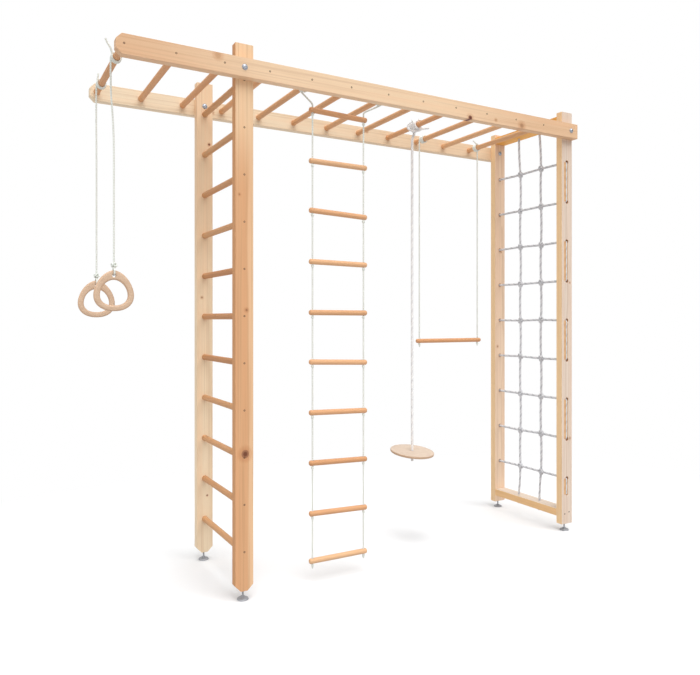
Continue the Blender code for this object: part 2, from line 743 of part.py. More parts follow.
def ring_rope_route(side, y):
    """From the loose end, round the bar, down to a knot and through the ring."""
    bar = Vector((bar_x(0), y, BEAM_Z))
    left = Vector((-THIN_WRAP_RADIUS, 0, 0))
    down, up, rearward = Vector((0, 0, -1)), Vector((0, 0, 1)), Vector((0, 1, 0))
    first = bar - Vector((0, RING_WRAP_TURNS * THIN_ADVANCE, 0))
    across, rise = RING_TAIL[side]
    offset = (across, 0, rise)
    route = plain(tail(offset, first + left, down, THIN_WRAP_RADIUS, THIN_ADVANCE))
    route += plain(winding(first, THIN_WRAP_RADIUS, math.pi, RING_WRAP_TURNS, 1, THIN_ADVANCE))
    plumb = bar - Vector((RING_LEFT_OF_BAR[side], 0, 0))
    gathered = plumb + down * RING_GATHER
    leaving = down + winding_slope(THIN_WRAP_RADIUS, THIN_ADVANCE)
    route += plain(easing(bar + left, leaving, gathered, down)[1:])
    loop = plumb + down * RING_DROP[side]
    knot_top = loop + up * (RING_KNOT_ABOVE_LOOP + RING_KNOT_LENGTH * THIN_ROPE_DIAMETER)
    route += plain(straight(gathered, knot_top)[1:-1])
    route += knot(knot_top, THIN_RADIUS, RING_KNOT_SWELL, RING_KNOT_LENGTH, RING_KNOT_LEAN)
    spread = RING_THICKNESS / 2 + RING_LOOP_CLEARANCE + THIN_RADIUS
    front, rear = loop - rearward * spread, loop + rearward * spread
    lead_in = front + up * RING_LOOP_BEND
    route += plain(easing(route[-1][0], down, lead_in, down)[1:-1])
    route += plain(quarter_bend(front, down, rearward, RING_LOOP_BEND, BEND_STEPS))
    route += plain(quarter_bend(rear, rearward, up, RING_LOOP_BEND, BEND_STEPS))
    route.append((rear + up * (RING_KNOT_ABOVE_LOOP - THIN_RADIUS), 1.0))
    return route, loop


def add_rings():
    seat = RING_HOLE_DIAMETER / 2 - THIN_RADIUS - FIT_GAP
    for side, sign in SIDES.items():
        y = sign * (POST_INNER_Y - RING_FROM_POST_FACE[side])
        route, loop = ring_rope_route(side, y)
        report_self_gap(f"ring_rope_{side}", route, THIN_RADIUS)
        axis = (bar_x(0), y, BEAM_Z)
        swing = add_pivot(f"ring_{side}_swing", axis)
        add_rope(f"ring_rope_{side}", route, THIN_RADIUS, WOUND_ROPE_SIDES, THIN_ROPE, axis, swing)
        tilt = add_pivot(f"ring_{side}_tilt", loop, swing)
        mesh = ring_mesh(f"ring_{side}")
        mesh.transform(Matrix.Translation((0, 0, -seat)))
        add_part(f"ring_{side}", mesh, loop, PLYWOOD, tilt)


# Rope ladder


def drill(obj, name, radius, x, y, z, turn):
    """A hole right through a round bar, square to it, turned with the bar about Y."""
    reach = STEP_DIAMETER + TRAPEZE_DIAMETER + 2 * CUT_MARGIN
    mesh = rod_mesh("rope_hole", flat_radius(radius, HOLE_SIDES), reach, HOLE_SIDES, "Z")
    cutter = add_cutter(name, mesh, (x, y, z))
    cutter.rotation_euler = (0, turn, 0)
    combine(obj, cutter, "DIFFERENCE")


def eye_route(bar, hand, target):
    """One loose turn over a monkey bar, from its tail to where it crosses below for a lower point.

    hand is 1 for an eye that leaves towards +X and -1 for one that leaves towards -X.
    """
    radius = BAR_RADIUS + EYE_TOP_GAP + THIN_RADIUS + EYE_SLACK
    centre = Vector(bar) - Vector((0, 0, EYE_SLACK))
    across, fall = hand * (target.x - centre.x), target.z - centre.z
    leave = math.atan2(fall, across) - math.acos(radius / math.hypot(across, fall))
    points = []
    for i in range(LOOP_POINTS + 1):
        angle = leave + 2 * math.pi * i / LOOP_POINTS
        forward = THIN_ADVANCE * (angle - math.pi / 2) / (2 * math.pi)
        offset = (hand * radius * math.cos(angle), forward, radius * math.sin(angle))
        points.append(centre + Vector(offset))
    heading = Vector((-hand * math.sin(leave), 0, math.cos(leave)))
    return [points[0] - heading * EYE_TAIL] + points, heading


def ladder_rope_route(bar_index, hand, x, steps):
    """From the eye on a monkey bar through each step, with a knot under every one."""
    bar = (bar_x(bar_index), ROPE_LADDER_Y, BEAM_Z)
    inlet = Vector((x, ROPE_LADDER_Y, steps[0][0] + STEP_DIAMETER))
    eye, heading = eye_route(bar, hand, inlet)
    run = easing(eye[-1], heading, inlet, (0, 0, -1), LADDER_ROPE_BEND)
    route = plain(eye) + plain(run[1:])
    for z, tilt in steps:
        seat = z + hand * STEP_HOLE_SPACING / 2 * math.tan(tilt)
        under = STEP_DIAMETER / 2 / math.cos(tilt)
        lean = KNOT_SWELL * THIN_RADIUS * math.tan(abs(tilt))
        top = Vector((x, ROPE_LADDER_Y, seat - under - lean - FIT_GAP))
        route += knot(top, THIN_RADIUS)
    route.append(rope_end(route[-1][0]))
    return route


def step_height(index):
    """The height of a step of the rope ladder, counted from 0 at the top."""
    whole = min(index, STEP_COUNT - 2)
    return TOP_STEP_Z - whole * STEP_PITCH - (index - whole) * LAST_STEP_PITCH


def add_rope_ladder():
    left, right = LADDER_ROPE_BARS
    x = ROPE_LADDER_X
    axis = (x, ROPE_LADDER_Y, BEAM_Z + BAR_RADIUS)
    swing = add_pivot("rope_ladder_swing", axis)
    half = STEP_HOLE_SPACING / 2
    tilts = [math.radians(tilt) for tilt in STEP_TILTS_DEG]
    steps = [(step_height(i), tilts[i % len(tilts)]) for i in range(STEP_COUNT)]
    hole = THIN_RADIUS + STEP_HOLE_CLEARANCE
    for i, (z, tilt) in enumerate(steps):
        name = f"rope_ladder_step_{i + 1:02d}"
        length = STEP_HOLE_SPACING + 2 * STEP_PAST_HOLE
        mesh = rod_mesh(name, STEP_DIAMETER / 2, length, DOWEL_SIDES, "X")
        step = add_part(name, mesh, (x, ROPE_LADDER_Y, z), DOWEL_WOOD)
        step.rotation_euler = (0, tilt, 0)
        for label, hand in (("left", -1), ("right", 1)):
            drop = hand * half * math.tan(tilt)
            place = (x + hand * half, ROPE_LADDER_Y, z - drop)
            drill(step, f"{name}_{label}_hole", hole, *place, tilt)
        hold(step, swing)
    for label, bar_index, hand in (("left", left, 1), ("right", right, -1)):
        name = f"rope_ladder_rope_{label}"
        route = ladder_rope_route(bar_index, hand, x - hand * half, steps)
        report_self_gap(name, route, THIN_RADIUS)
        add_rope(name, route, THIN_RADIUS, WOUND_ROPE_SIDES, THIN_ROPE, axis, swing)


# Disc swing


def swing_rope_route():
    """From the loose end, round the bar, in under it, down through the disc and to its knot."""
    bar = Vector((bar_x(SWING_BAR), SWING_Y, BEAM_Z))
    right, down = Vector((THICK_WRAP_RADIUS, 0, 0)), Vector((0, 0, -1))
    turns = SWING_WRAP_TURNS - 0.25
    first = bar - Vector((0, turns * THICK_ADVANCE, 0))
    under = first + down * THICK_WRAP_RADIUS
    across, rise = SWING_TAIL
    offset = (across, 0, rise)
    route = plain(tail(offset, under, (-1, 0, 0), THICK_WRAP_RADIUS, THICK_ADVANCE))
    route += plain(winding(first, THICK_WRAP_RADIUS, -math.pi / 2, turns, -1, THICK_ADVANCE))
    gathered = bar + down * SWING_GATHER
    leaving = down + winding_slope(THICK_WRAP_RADIUS, THICK_ADVANCE)
    route += plain(easing(bar + right, leaving, gathered, down)[1:])
    under_disc = DISC_THICKNESS / 2 / math.cos(DISC_TILT) + THICK_RADIUS * math.tan(DISC_TILT)
    knot_top = bar + down * (SWING_DROP + under_disc + FIT_GAP)
    route += plain(straight(gathered, knot_top)[1:-1])
    route += knot(knot_top, THICK_RADIUS)
    route.append(rope_end(route[-1][0]))
    return route


def add_disc_swing():
    axis = (bar_x(SWING_BAR), SWING_Y, BEAM_Z)
    swing = add_pivot("disc_swing", axis)
    route = swing_rope_route()
    report_self_gap("swing_rope", route, THICK_RADIUS)
    add_rope("swing_rope", route, THICK_RADIUS, WOUND_ROPE_SIDES, THICK_ROPE, axis, swing)
    middle = (bar_x(SWING_BAR), SWING_Y, BEAM_Z - SWING_DROP)
    turn = add_pivot("disc_turn", middle, swing)
    outer, half, edge = DISC_DIAMETER / 2, DISC_THICKNESS / 2, DISC_EDGE_ROUND
    hole = THICK_RADIUS + DISC_HOLE_CLEARANCE
    profile = [
        (hole, half),
        (outer - edge, half),
        (outer, half - edge),
        (outer, edge - half),
        (outer - edge, -half),
        (hole, -half),
    ]
    disc = turned_part("swing_disc", profile, DISC_SIDES, middle, PLYWOOD, turn, closed=True)
    disc.rotation_euler = (DISC_TILT, 0.0, math.radians(DISC_TILT_TURN_DEG))


# Trapeze


def trapeze_hitch_route(bar_index, sense):
    """Turns round a monkey bar, from the loose end to a short straight end that points down."""
    bar = Vector((bar_x(bar_index), TRAPEZE_Y, BEAM_Z))
    turns = TRAPEZE_WRAP_TURNS + 0.25
    first = bar - Vector((0, turns * THIN_ADVANCE, 0))
    over = first + Vector((0, 0, THIN_WRAP_RADIUS))
    across, rise = TRAPEZE_TAIL
    offset = (sense * across, 0, rise)
    route = plain(tail(offset, over, (-sense, 0, 0), THIN_WRAP_RADIUS, THIN_ADVANCE))
    route += plain(winding(first, THIN_WRAP_RADIUS, math.pi / 2, turns, sense, THIN_ADVANCE))
    route.append((route[-1][0] - Vector((0, 0, THIN_ROPE_DIAMETER)), 1.0))
    return route


def round_top(below):
    """The rounded upper end of a rope, about the axis that it swings on."""
    rings = []
    for degrees in (80, 55, 30):
        angle = math.radians(degrees)
        rise = Vector((0, 0, THIN_RADIUS * math.sin(angle)))
        rings.append((Vector(below) + rise, math.cos(angle)))
    return rings


def add_trapeze():
    z = BEAM_Z - TRAPEZE_DROP
    under = z - TRAPEZE_DIAMETER / 2 - FIT_GAP
    axis_z = BEAM_Z - THIN_ROPE_DIAMETER - FIT_GAP - THIN_RADIUS
    left, right = TRAPEZE_BARS
    x = (bar_x(left) + bar_x(right)) / 2
    axis = (x, TRAPEZE_Y, axis_z)
    swing = add_pivot("trapeze_swing", axis)
    spacing = bar_x(right) - bar_x(left) + 2 * THIN_WRAP_RADIUS
    length = spacing + 2 * TRAPEZE_PAST_HOLE
    mesh = rod_mesh("trapeze_bar", TRAPEZE_DIAMETER / 2, length, DOWEL_SIDES, "X")
    bar = add_part("trapeze_bar", mesh, (x, TRAPEZE_Y, z), DOWEL_WOOD)
    hold(bar, swing)
    for label, bar_index, sense in (("left", left, 1), ("right", right, -1)):
        hitch = trapeze_hitch_route(bar_index, sense)
        report_self_gap(f"trapeze_hitch_{label}", hitch, THIN_RADIUS)
        origin = (bar_x(bar_index), TRAPEZE_Y, BEAM_Z)
        add_rope(f"trapeze_hitch_{label}", hitch, THIN_RADIUS, WOUND_ROPE_SIDES, THIN_ROPE, origin)
        rope_x = bar_x(bar_index) - sense * THIN_WRAP_RADIUS
        hole = THIN_RADIUS + TRAPEZE_HOLE_CLEARANCE
        drill(bar, f"trapeze_{label}_hole", hole, rope_x, TRAPEZE_Y, z, 0.0)
        top, seat = (rope_x, TRAPEZE_Y, axis_z), (rope_x, TRAPEZE_Y, under)
        route = round_top(top) + plain(straight(top, seat)[:-1]) + knot(seat, THIN_RADIUS)
        route.append(rope_end(route[-1][0]))
        name = f"trapeze_rope_{label}"
        add_rope(name, route, THIN_RADIUS, PLAIN_ROPE_SIDES, THIN_ROPE, axis, swing)


clear_scene()
parts = make_collection("climbing_frame")
cutters = make_collection("cutters")
add_beams()
add_monkey_bars()
add_ladder()
add_net_posts()
add_net_rails()
add_net()
add_feet()
add_rings()
add_rope_ladder()
add_disc_swing()
add_trapeze()
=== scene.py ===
"""Dresses an indoor climbing frame: timber, dowels, ropes, net, rings, seat, feet and fasteners."""

import math

import bmesh
import bpy
import numpy as np
from bpy.props import FloatProperty, FloatVectorProperty, IntProperty, PointerProperty
from mathutils import Euler, Matrix, Vector
from mathutils.geometry import interpolate_bezier


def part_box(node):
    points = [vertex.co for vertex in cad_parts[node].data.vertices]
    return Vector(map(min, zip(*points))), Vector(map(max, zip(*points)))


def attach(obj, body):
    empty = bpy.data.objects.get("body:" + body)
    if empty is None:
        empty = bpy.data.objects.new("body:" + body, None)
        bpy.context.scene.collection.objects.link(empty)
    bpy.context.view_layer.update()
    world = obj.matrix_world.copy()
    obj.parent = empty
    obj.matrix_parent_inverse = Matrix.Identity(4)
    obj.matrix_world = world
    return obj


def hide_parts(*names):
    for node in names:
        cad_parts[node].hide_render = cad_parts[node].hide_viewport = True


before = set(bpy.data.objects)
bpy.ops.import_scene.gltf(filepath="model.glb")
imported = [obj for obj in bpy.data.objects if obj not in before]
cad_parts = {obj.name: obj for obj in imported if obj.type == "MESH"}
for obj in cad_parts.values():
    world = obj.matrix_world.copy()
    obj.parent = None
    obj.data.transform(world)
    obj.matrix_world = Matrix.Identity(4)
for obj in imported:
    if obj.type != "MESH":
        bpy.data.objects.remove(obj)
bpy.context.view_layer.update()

bl_info = {
    "name": "Climbing Frame Dresser",
    "version": (1, 0, 0),
    "blender": (4, 5, 0),
    "location": "View3D > Sidebar > Climbing Frame",
    "description": "Dresses an indoor climbing frame with timber, dowels, ropes and fittings",
    "category": "Object",
}

SIDES = {"front": -1, "rear": 1}

# Fits and routes of the part's source, here in finer steps
FIT_GAP = 0.0003
TURN_PITCH = 1.11
LOOP_POINTS = 48
EASE_STEPS = 24
BEND_STEPS = 10
ROPE_END = 0.006
RING_HOLE_BELOW_TOP = 0.0216
RING_OPENING_BELOW_HOLE = 0.0170
RING_OPENING_HEIGHT = 0.103
RING_LOOP_BEND = 0.0125
RING_LOOP_SPREAD = 0.0165
RING_KNOT_ABOVE_LOOP = 0.029
RING_KNOT_HEIGHT = 0.020
RING_KNOT_WIDTH = 0.0288
RING_KNOT_LEAN = 0.006
RING_WRAP_TURNS = 3
RING_GATHER = 0.400
RING_TAIL = {"front": (-0.026, 0.063), "rear": (0.003, 0.040)}
LADDER_ROPE_BARS = (4, 6)
LADDER_ROPE_BEND = 0.012
STEP_HOLE_SPACING = 0.270
EYE_SLACK = 0.0030
EYE_TOP_GAP = 0.0008
EYE_TAIL = 0.020
SWING_BAR = 8
SWING_WRAP_TURNS = 3.75
SWING_TAIL = (0.062, 0.010)
SWING_GATHER = 0.085
SEAT_WIDTH = 0.240
SEAT_THICKNESS = 0.0125
SEAT_TILT = math.radians(7.5)
SEAT_TURN = math.radians(17.0)
SEAT_HOLE_CLEARANCE = 0.0017
TRAPEZE_BARS = (9, 11)
TRAPEZE_WRAP_TURNS = 3.25
TRAPEZE_TAIL = (0.040, 0.016)
NET_ROWS = 9
NET_LOWEST_ROW = 0.295
NET_TOP_ROW_BELOW_POST_TOP = 0.281
NET_TAIL_LENGTH = 0.090
NET_COLUMNS = 2
NET_LEAN = 0.013

# Rope forms that are the scene's own
SWING_HITCH_WIDTH = 0.078
SWING_HITCH_LENGTH = 0.074
SEAT_ROPE_END = 0.010
RING_LOOP_RETURN = 0.004
NET_KNOT_WIDTH = 0.033
NET_KNOT_HEIGHT = 0.039
NET_SLACK = 0.003
NET_GIVE = 0.014
NET_GIVE_STEPS = 12

# Plain knots, in diameters of their rope, and the angle from one knot to the next
KNOT_WIDTH = 2.0
KNOT_HEIGHT = 1.9
STOP_KNOT_HEIGHT = 1.3
KNOT_TURN = 1.3

# The rounding of a rope's cut end, as a share of its radius, and a direction that no rope takes
ROPE_TIP = 0.35
NO_ROPE_HEADING = (0.31, 0.52, 0.79)

# Tones that wood takes where it is deeper and at a pale knot, painted shade in and round a rope hole, and
# painted shade beside a rope in its groove
DEEP_STAIN = (0.80, 0.63, 0.52)
KNOT_PALE = (0.60, 0.31, 0.12)
HOLE_SHADE = (0.42, 0.18, 0.07)
GROOVE_SHADE_WARM = (0.74, 0.42, 0.18)
GROOVE_SHADE_DARK = (0.58, 0.26, 0.09)
WHITE = (1.0, 1.0, 1.0, 1.0)

# Room round the net's rope in the timber, and the stripe of painted shade beside the rope in its grooves
GROOVE_MARGIN = 0.0010
HOLE_MARGIN = 0.0030
GROOVE_SHADE_HALF = 0.0065
GROOVE_SHADE_REPEAT = 0.046
GROOVE_SHADE_FADE = 0.004
HOLE_SHADE_FADE = (0.03, 0.02)

# Room round the ropes in other holes, spare depth above a stud, and a drill longer than any hole
RAIL_HOLE_MARGIN = 0.0004
STEP_HOLE_MARGIN = 0.0010
TRAPEZE_HOLE_MARGIN = 0.0005
STUD_HOLE_SPARE = 0.017
DRILL_LENGTH = 0.06
DRILL_SIDES = 28

# Grain of the round dowels, and the turn from one bar to the next
DOWEL_PITH = (0.05, 0.02)
DOWEL_RING_SPACING = 0.0030
BAR_TURN = 0.9

# A ring's outlines: its widest height as a share of its opening, and their powers above and below it
RING_WIDEST = 0.4
RING_OUTER_POWERS = (1.75, 2.2)
RING_INNER_POWERS = (1.9, 2.3)
RING_OUTLINE_POINTS = 160
RING_HOLE_PAST = 0.004
SEAT_HOLE_RIM = 0.0012

# A foot from the floor up: the dome and the thread are shares of the pad's and the stud's radius
PAD_UNDERCUT = 0.003
PAD_RIM = 0.0018
PAD_EDGE = (0.0022, 0.0060)
PAD_DOME = ((0.82, 0.0072), (0.50, 0.0082))
FOOT_NUT = ((0.0096, 0.0098), (0.0090, 0.0102), (0.0088, 0.0136), (0.0080, 0.0144))
STUD_START = 0.0146
THREAD_START = 0.0152
THREAD_ENDS = 0.0165
THREAD_CREST = 0.99
THREAD_ROOT = 0.86

# Bolts and screws from the face of the wood outwards; drive and profile are shares of the head's radius
WASHER_SUNK = 0.002
WASHER_EDGE = 0.0010
WASHER_TOP = 0.0016
WASHER_CHAMFER = 0.0006
BOLT_DOME = 0.0062
BOLT_DOME_DEGREES = (10, 25, 40, 55, 68)
BOLT_DRIVE = ((0.32, 0.0074), (0.29, 0.0040), (0.0, 0.0034))
SCREW_PROFILE = (
    (0.0, -0.003),
    (0.55, -0.003),
    (1.0, -0.0002),
    (0.96, 0.0003),
    (0.42, 0.0003),
    (0.34, -0.0014),
    (0.0, -0.0018),
)
BOLT_SHIFT = {"ladder_post": -0.013, "net_post": -0.009}
BAR_SCREW_RISE = 0.002
RAIL_SCREW_ASIDE = 0.017
RAIL_SCREW_RISE = 0.004

# The studio: lamps as direction, width in degrees and strength; the floor; light that isn't seen
LAMPS = {
    "key": ((0.10, -0.80, 1.0), 60.0, 2.00),
    "side": ((-1.0, -0.25, 0.5), 60.0, 0.62),
    "top": ((0.0, 0.0, 1.0), 24.0, 1.05),
}
SENSOR_WIDTH = 36.0
VIEW_END = 60.0
FLOOR_HALF = 14.0
FLOOR_BELOW = 0.0006
FLOOR_STRETCH = 2.2
FLOOR_FADE = (1.0, 2.2)
FLOOR_LIGHT = 0.70
WORLD_LIGHT = 0.42


def length(name, description, default):
    """A size of the object, in metres."""
    return FloatProperty(
        name=name, description=description, default=default, min=0.0, unit="LENGTH", precision=4
    )


def colour(name, description, default):
    """A base colour, in linear light."""
    return FloatVectorProperty(
        name=name, description=description, default=default, size=3, min=0.0, max=1.0, subtype="COLOR"
    )


class TimberSettings(bpy.types.PropertyGroup):
    edge_round: length("Edge Rounding", "Radius of the planed timber's edges", 0.0012)
    beam_cut: length("Beam Corner Cut", "Corner cut off at the ring end of each beam", 0.022)
    post_cut: length("Post Corner Cut", "Corner cut off at the foot of each ladder post", 0.025)
    ring_spacing: length("Growth Rings", "Distance between two growth rings", 0.0042)
    front_beam: colour("Front Beam", "Pale wood of the front beam", (0.95, 0.71, 0.48))
    rear_beam: colour("Rear Beam", "Cream wood of the rear beam", (0.96, 0.81, 0.60))
    ladder_front: colour("Ladder Front Post", "Rosy wood of the ladder's front post", (0.95, 0.68, 0.43))
    ladder_rear: colour("Ladder Rear Post", "Pale wood of the ladder's rear post", (0.98, 0.80, 0.57))
    # The ladder front post's left and right faces: a painted shade, darker and ruddier than its front
    ladder_side_shade: colour("Ladder Post Side", "Ruddy side of the ladder's front post", (0.66, 0.33, 0.14))
    net_front: colour("Net Front Post", "Whitish wood of the net's front post", (0.82, 0.69, 0.58))
    net_rear: colour("Net Rear Post", "Pale wood of the net's rear post", (0.92, 0.71, 0.53))
    net_side: colour("Net Post Side", "Golden wood of the net posts' sides", (1.0, 0.70, 0.40))
    top_rail: colour("Top Rail", "Orange wood of the net's top rail", (1.0, 0.51, 0.11))
    bottom_rail: colour("Bottom Rail", "Golden wood of the net's bottom rail", (0.99, 0.63, 0.31))
    # The bottom rail's upper and lower faces are whitish: a painted sheen, where the light falls on its
    # top
    rail_top_sheen: colour("Rail Upper Face", "Whitish wood on top of the net's rails", (0.85, 0.73, 0.61))
    knot: colour("Knot", "Wood of a branch knot", (0.25, 0.095, 0.060))


class DowelSettings(bpy.types.PropertyGroup):
    end_round: length("End Rounding", "Rounding of a bar's ends", 0.004)
    step_round: length("Step Rounding", "Rounding of a step's ends", 0.0085)
    bar: colour("Bar", "Wood of the monkey bars", (0.86, 0.54, 0.30))
    rung: colour("Rung", "Darker wood of the ladder's rungs", (0.72, 0.42, 0.21))
    step: colour("Step", "Wood of the rope ladder's steps and the trapeze", (0.89, 0.57, 0.33))


class RopeSettings(bpy.types.PropertyGroup):
    thin: length("Thin Rope", "Diameter of the thin braided rope", 0.008)
    thick: length("Seat Rope", "Diameter of the disc seat's twisted rope", 0.014)
    net: length("Net Rope", "Diameter of the net's twisted rope", 0.013)
    lay: length("Lay", "Length of one turn of a twisted rope's strands", 0.048)
    braid: length("Braid", "Length of one crossing of a braided rope's yarns", 0.011)
    thin_colour: colour("Thin Rope", "Pale yarn of the thin rope", (0.92, 0.97, 0.92))
    net_colour: colour("Net Rope", "Pale yarn of the net's rope", (0.79, 0.80, 0.83))
    seat_colour: colour("Seat Rope", "White yarn of the seat's rope", (1.0, 1.0, 1.0))
    net_tracer: colour("Net Tracer", "Grey strand of the net's rope", (0.50, 0.51, 0.54))
    seat_tracer: colour("Seat Tracer", "Grey strand of the seat's rope", (0.82, 0.82, 0.83))
    fleck: colour("Fleck", "Dark yarn in the ropes", (0.22, 0.22, 0.23))


class BoardSettings(bpy.types.PropertyGroup):
    ring_side: length("Ring Side", "Width of a ring's side", 0.0247)
    ring_foot: length("Ring Foot", "Height of a ring's lower bar", 0.0236)
    ring_hole: length("Ring Hole", "Diameter of a ring's rope hole", 0.015)
    ring_round: length("Ring Rounding", "Rounding of a ring's edges", 0.0078)
    hole_round: length("Hole Rounding", "Rounding of a ring's rope hole", 0.0020)
    seat_round: length("Seat Rounding", "Rounding of the disc seat's edges", 0.003)
    ply: length("Ply", "Thickness of one ply", 0.0016)
    ring_face: colour("Ring", "Face veneer of the rings", (0.70, 0.50, 0.35))
    ring_core: colour("Ring Core", "Darker plies of the rings", (0.64, 0.40, 0.25))
    seat_face: colour("Seat", "Face veneer of the seat", (0.67, 0.535, 0.42))
    seat_core: colour("Seat Core", "Darker plies at the seat's edge", (0.50, 0.27, 0.13))


class FittingSettings(bpy.types.PropertyGroup):
    bolt_head: length("Bolt Head", "Diameter of a cross bolt's domed head", 0.023)
    washer: length("Washer", "Diameter of a cross bolt's washer", 0.026)
    screw_head: length("Screw Head", "Diameter of a wood screw's head", 0.0085)
    pad: length("Foot Pad", "Diameter of a foot's pad", 0.050)
    stud: length("Foot Stud", "Diameter of a foot's threaded stud", 0.008)
    thread: length("Thread", "Pitch of the studs' thread", 0.0025)
    bolt: colour("Bolt", "Zinc plated steel of the bolts", (0.36, 0.39, 0.44))
    foot: colour("Foot", "Dull steel of the feet", (0.35, 0.365, 0.395))
    screw: colour("Screw", "Dark steel of the wood screws", (0.14, 0.085, 0.055))


class StageSettings(bpy.types.PropertyGroup):
    focal: FloatProperty(name="Focal Length", description="Camera lens", default=34.59, unit="CAMERA")
    eye: FloatVectorProperty(
        name="Eye", description="Place of the camera", default=(-1.6979, -2.9950, 1.1922), unit="LENGTH"
    )
    heading: FloatProperty(
        name="Heading", description="Turn of the camera", default=math.radians(29.53), subtype="ANGLE"
    )
    rise: FloatProperty(name="Rise", description="Upward shift of the lens", default=-0.0259)
    floor: colour("Floor", "Pale studio floor", (0.52, 0.52, 0.53))
    floor_seen: colour("Seen Floor", "Studio floor as the camera sees it", (0.90, 0.91, 0.92))
    seed: IntProperty(name="Seed", description="Seed for wood and yarn variation", default=4)


class ClimbingFrameSettings(bpy.types.PropertyGroup):
    timber: PointerProperty(type=TimberSettings)
    dowel: PointerProperty(type=DowelSettings)
    rope: PointerProperty(type=RopeSettings)
    board: PointerProperty(type=BoardSettings)
    fitting: PointerProperty(type=FittingSettings)
    stage: PointerProperty(type=StageSettings)


def settings():
    return bpy.context.scene.climbing_frame


# Node trees


class Wire:
    """A socket whose operators add Math nodes to its tree."""

    def __init__(self, nodes, socket):
        self.nodes = nodes
        self.socket = socket

    def maths(self, operation, first, second=0.0):
        return self.nodes.node("ShaderNodeMath", {"operation": operation}, {0: first, 1: second})

    def __add__(self, other):
        return self.maths("ADD", self, other)

    __radd__ = __add__

    def __sub__(self, other):
        return self.maths("SUBTRACT", self, other)

    def __rsub__(self, other):
        return self.maths("SUBTRACT", other, self)

    def __mul__(self, other):
        return self.maths("MULTIPLY", self, other)

    __rmul__ = __mul__

    def __truediv__(self, other):
        return self.maths("DIVIDE", self, other)

    def __rtruediv__(self, other):
        return self.maths("DIVIDE", other, self)

    def root(self):
        return self.maths("SQRT", self)

    def part(self):
        return self.maths("FRACT", self)

    def wave(self):
        return self.maths("SINE", self)

    def size(self):
        return self.maths("ABSOLUTE", self)


class Nodes:
    """Adds nodes to a tree."""

    def __init__(self, tree):
        self.tree = tree

    def node(self, kind, choices=None, sockets=None, output=0):
        """A new node with its settings, then its sockets' values or links; returns one output."""
        node = self.tree.nodes.new(kind)
        for key, value in (choices or {}).items():
            setattr(node, key, value)
        self.feed(node, sockets or {})
        return Wire(self, node.outputs[output])

    def feed(self, node, sockets):
        for key, value in sockets.items():
            if isinstance(value, Wire):
                self.tree.links.new(value.socket, node.inputs[key])
            else:
                node.inputs[key].default_value = value

    def split(self, vector):
        wire = self.node("ShaderNodeSeparateXYZ", None, {0: vector})
        return [Wire(self, socket) for socket in wire.socket.node.outputs]

    def vector(self, x, y, z):
        return self.node("ShaderNodeCombineXYZ", None, {0: x, 1: y, 2: z})

    def noise(self, vector, scale=1.0, detail=2.0, rough=0.5):
        sockets = {"Vector": vector, "Scale": scale, "Detail": detail, "Roughness": rough}
        return self.node("ShaderNodeTexNoise", {"normalize": True}, sockets)

    def ease(self, value, low, high):
        """0 below low and 1 above high, or the other way round where low is the higher."""
        choices = {"interpolation_type": "SMOOTHSTEP", "clamp": True}
        falling = low > high
        span = {"From Min": min(low, high), "From Max": max(low, high)}
        ends = {"To Min": float(falling), "To Max": float(not falling)}
        return self.node("ShaderNodeMapRange", choices, {"Value": value, **span, **ends})

    def mix(self, factor, first, second):
        """A blend of two colours, given as wires or as three numbers."""
        ends = [c if isinstance(c, Wire) else (*c, 1.0) for c in (first, second)]
        choices = {"data_type": "RGBA", "clamp_factor": True}
        return self.node("ShaderNodeMix", choices, {0: factor, 6: ends[0], 7: ends[1]}, 2)

    def stain(self, factor, first, second):
        """A colour darkened by another one."""
        choices = {"data_type": "RGBA", "blend_type": "MULTIPLY", "clamp_factor": True}
        return self.node("ShaderNodeMix", choices, {0: factor, 6: first, 7: (*second, 1.0)}, 2)

    def attribute(self, name, output):
        return self.node("ShaderNodeAttribute", {"attribute_name": name}, None, output)

    def place(self):
        """Each point's place in the object's own coordinates."""
        return self.node("ShaderNodeTexCoord", None, None, 3)

    def normal(self):
        """The three parts of the surface's outward direction."""
        return self.split(self.node("ShaderNodeNewGeometry", None, None, 1))

    def seen(self):
        """1 for rays from the camera, straight or by way of metal and glass."""
        path = self.node("ShaderNodeLightPath").socket.node.outputs
        rays = [Wire(self, path[k]) for k in ("Is Camera Ray", "Is Glossy Ray", "Is Transmission Ray")]
        return rays[0].maths("MAXIMUM", rays[0].maths("MAXIMUM", rays[0], rays[1]), rays[2])

    def bump(self, height, strength, distance):
        sockets = {"Strength": strength, "Distance": distance, "Height": height}
        return self.node("ShaderNodeBump", None, sockets)

    def surface(self, shader, tone, rough, specular, bump):
        """Feeds a shader; bump is the surface's height, its strength and its distance."""
        sockets = {"Base Color": tone, "Roughness": rough, "Normal": self.bump(*bump)}
        self.feed(shader, {**sockets, "Specular IOR Level": specular})


def new_finish(name, **sockets):
    """A material with its node adder and its shader, whose fixed sockets are set by name."""
    material = bpy.data.materials.new(name)
    material.use_nodes = True
    shader = material.node_tree.nodes["Principled BSDF"]
    for key, value in sockets.items():
        shader.inputs[key.replace("_", " ")].default_value = value
    return material, Nodes(material.node_tree), shader


def shade(tone, share):
    """A colour taken towards a deeper, warmer one."""
    return tuple(tone[i] * (1 - share * drop) for i, drop in enumerate((0.75, 1.0, 1.2)))


# Wood finishes


def rubbed_stripe(nodes, run, wide, middle, half, spans):
    """1 on a stripe of painted shade along the piece, within its spans."""
    stripe = nodes.ease((wide - middle).size(), 1.4 * half, 0.6 * half)
    within = 0.0
    for low, high in spans:
        reach = (high - low) / 2
        far = (run - (low + high) / 2).size()
        within = nodes.ease(far, reach + GROOVE_SHADE_FADE, reach - GROOVE_SHADE_FADE) + within
    return stripe * within


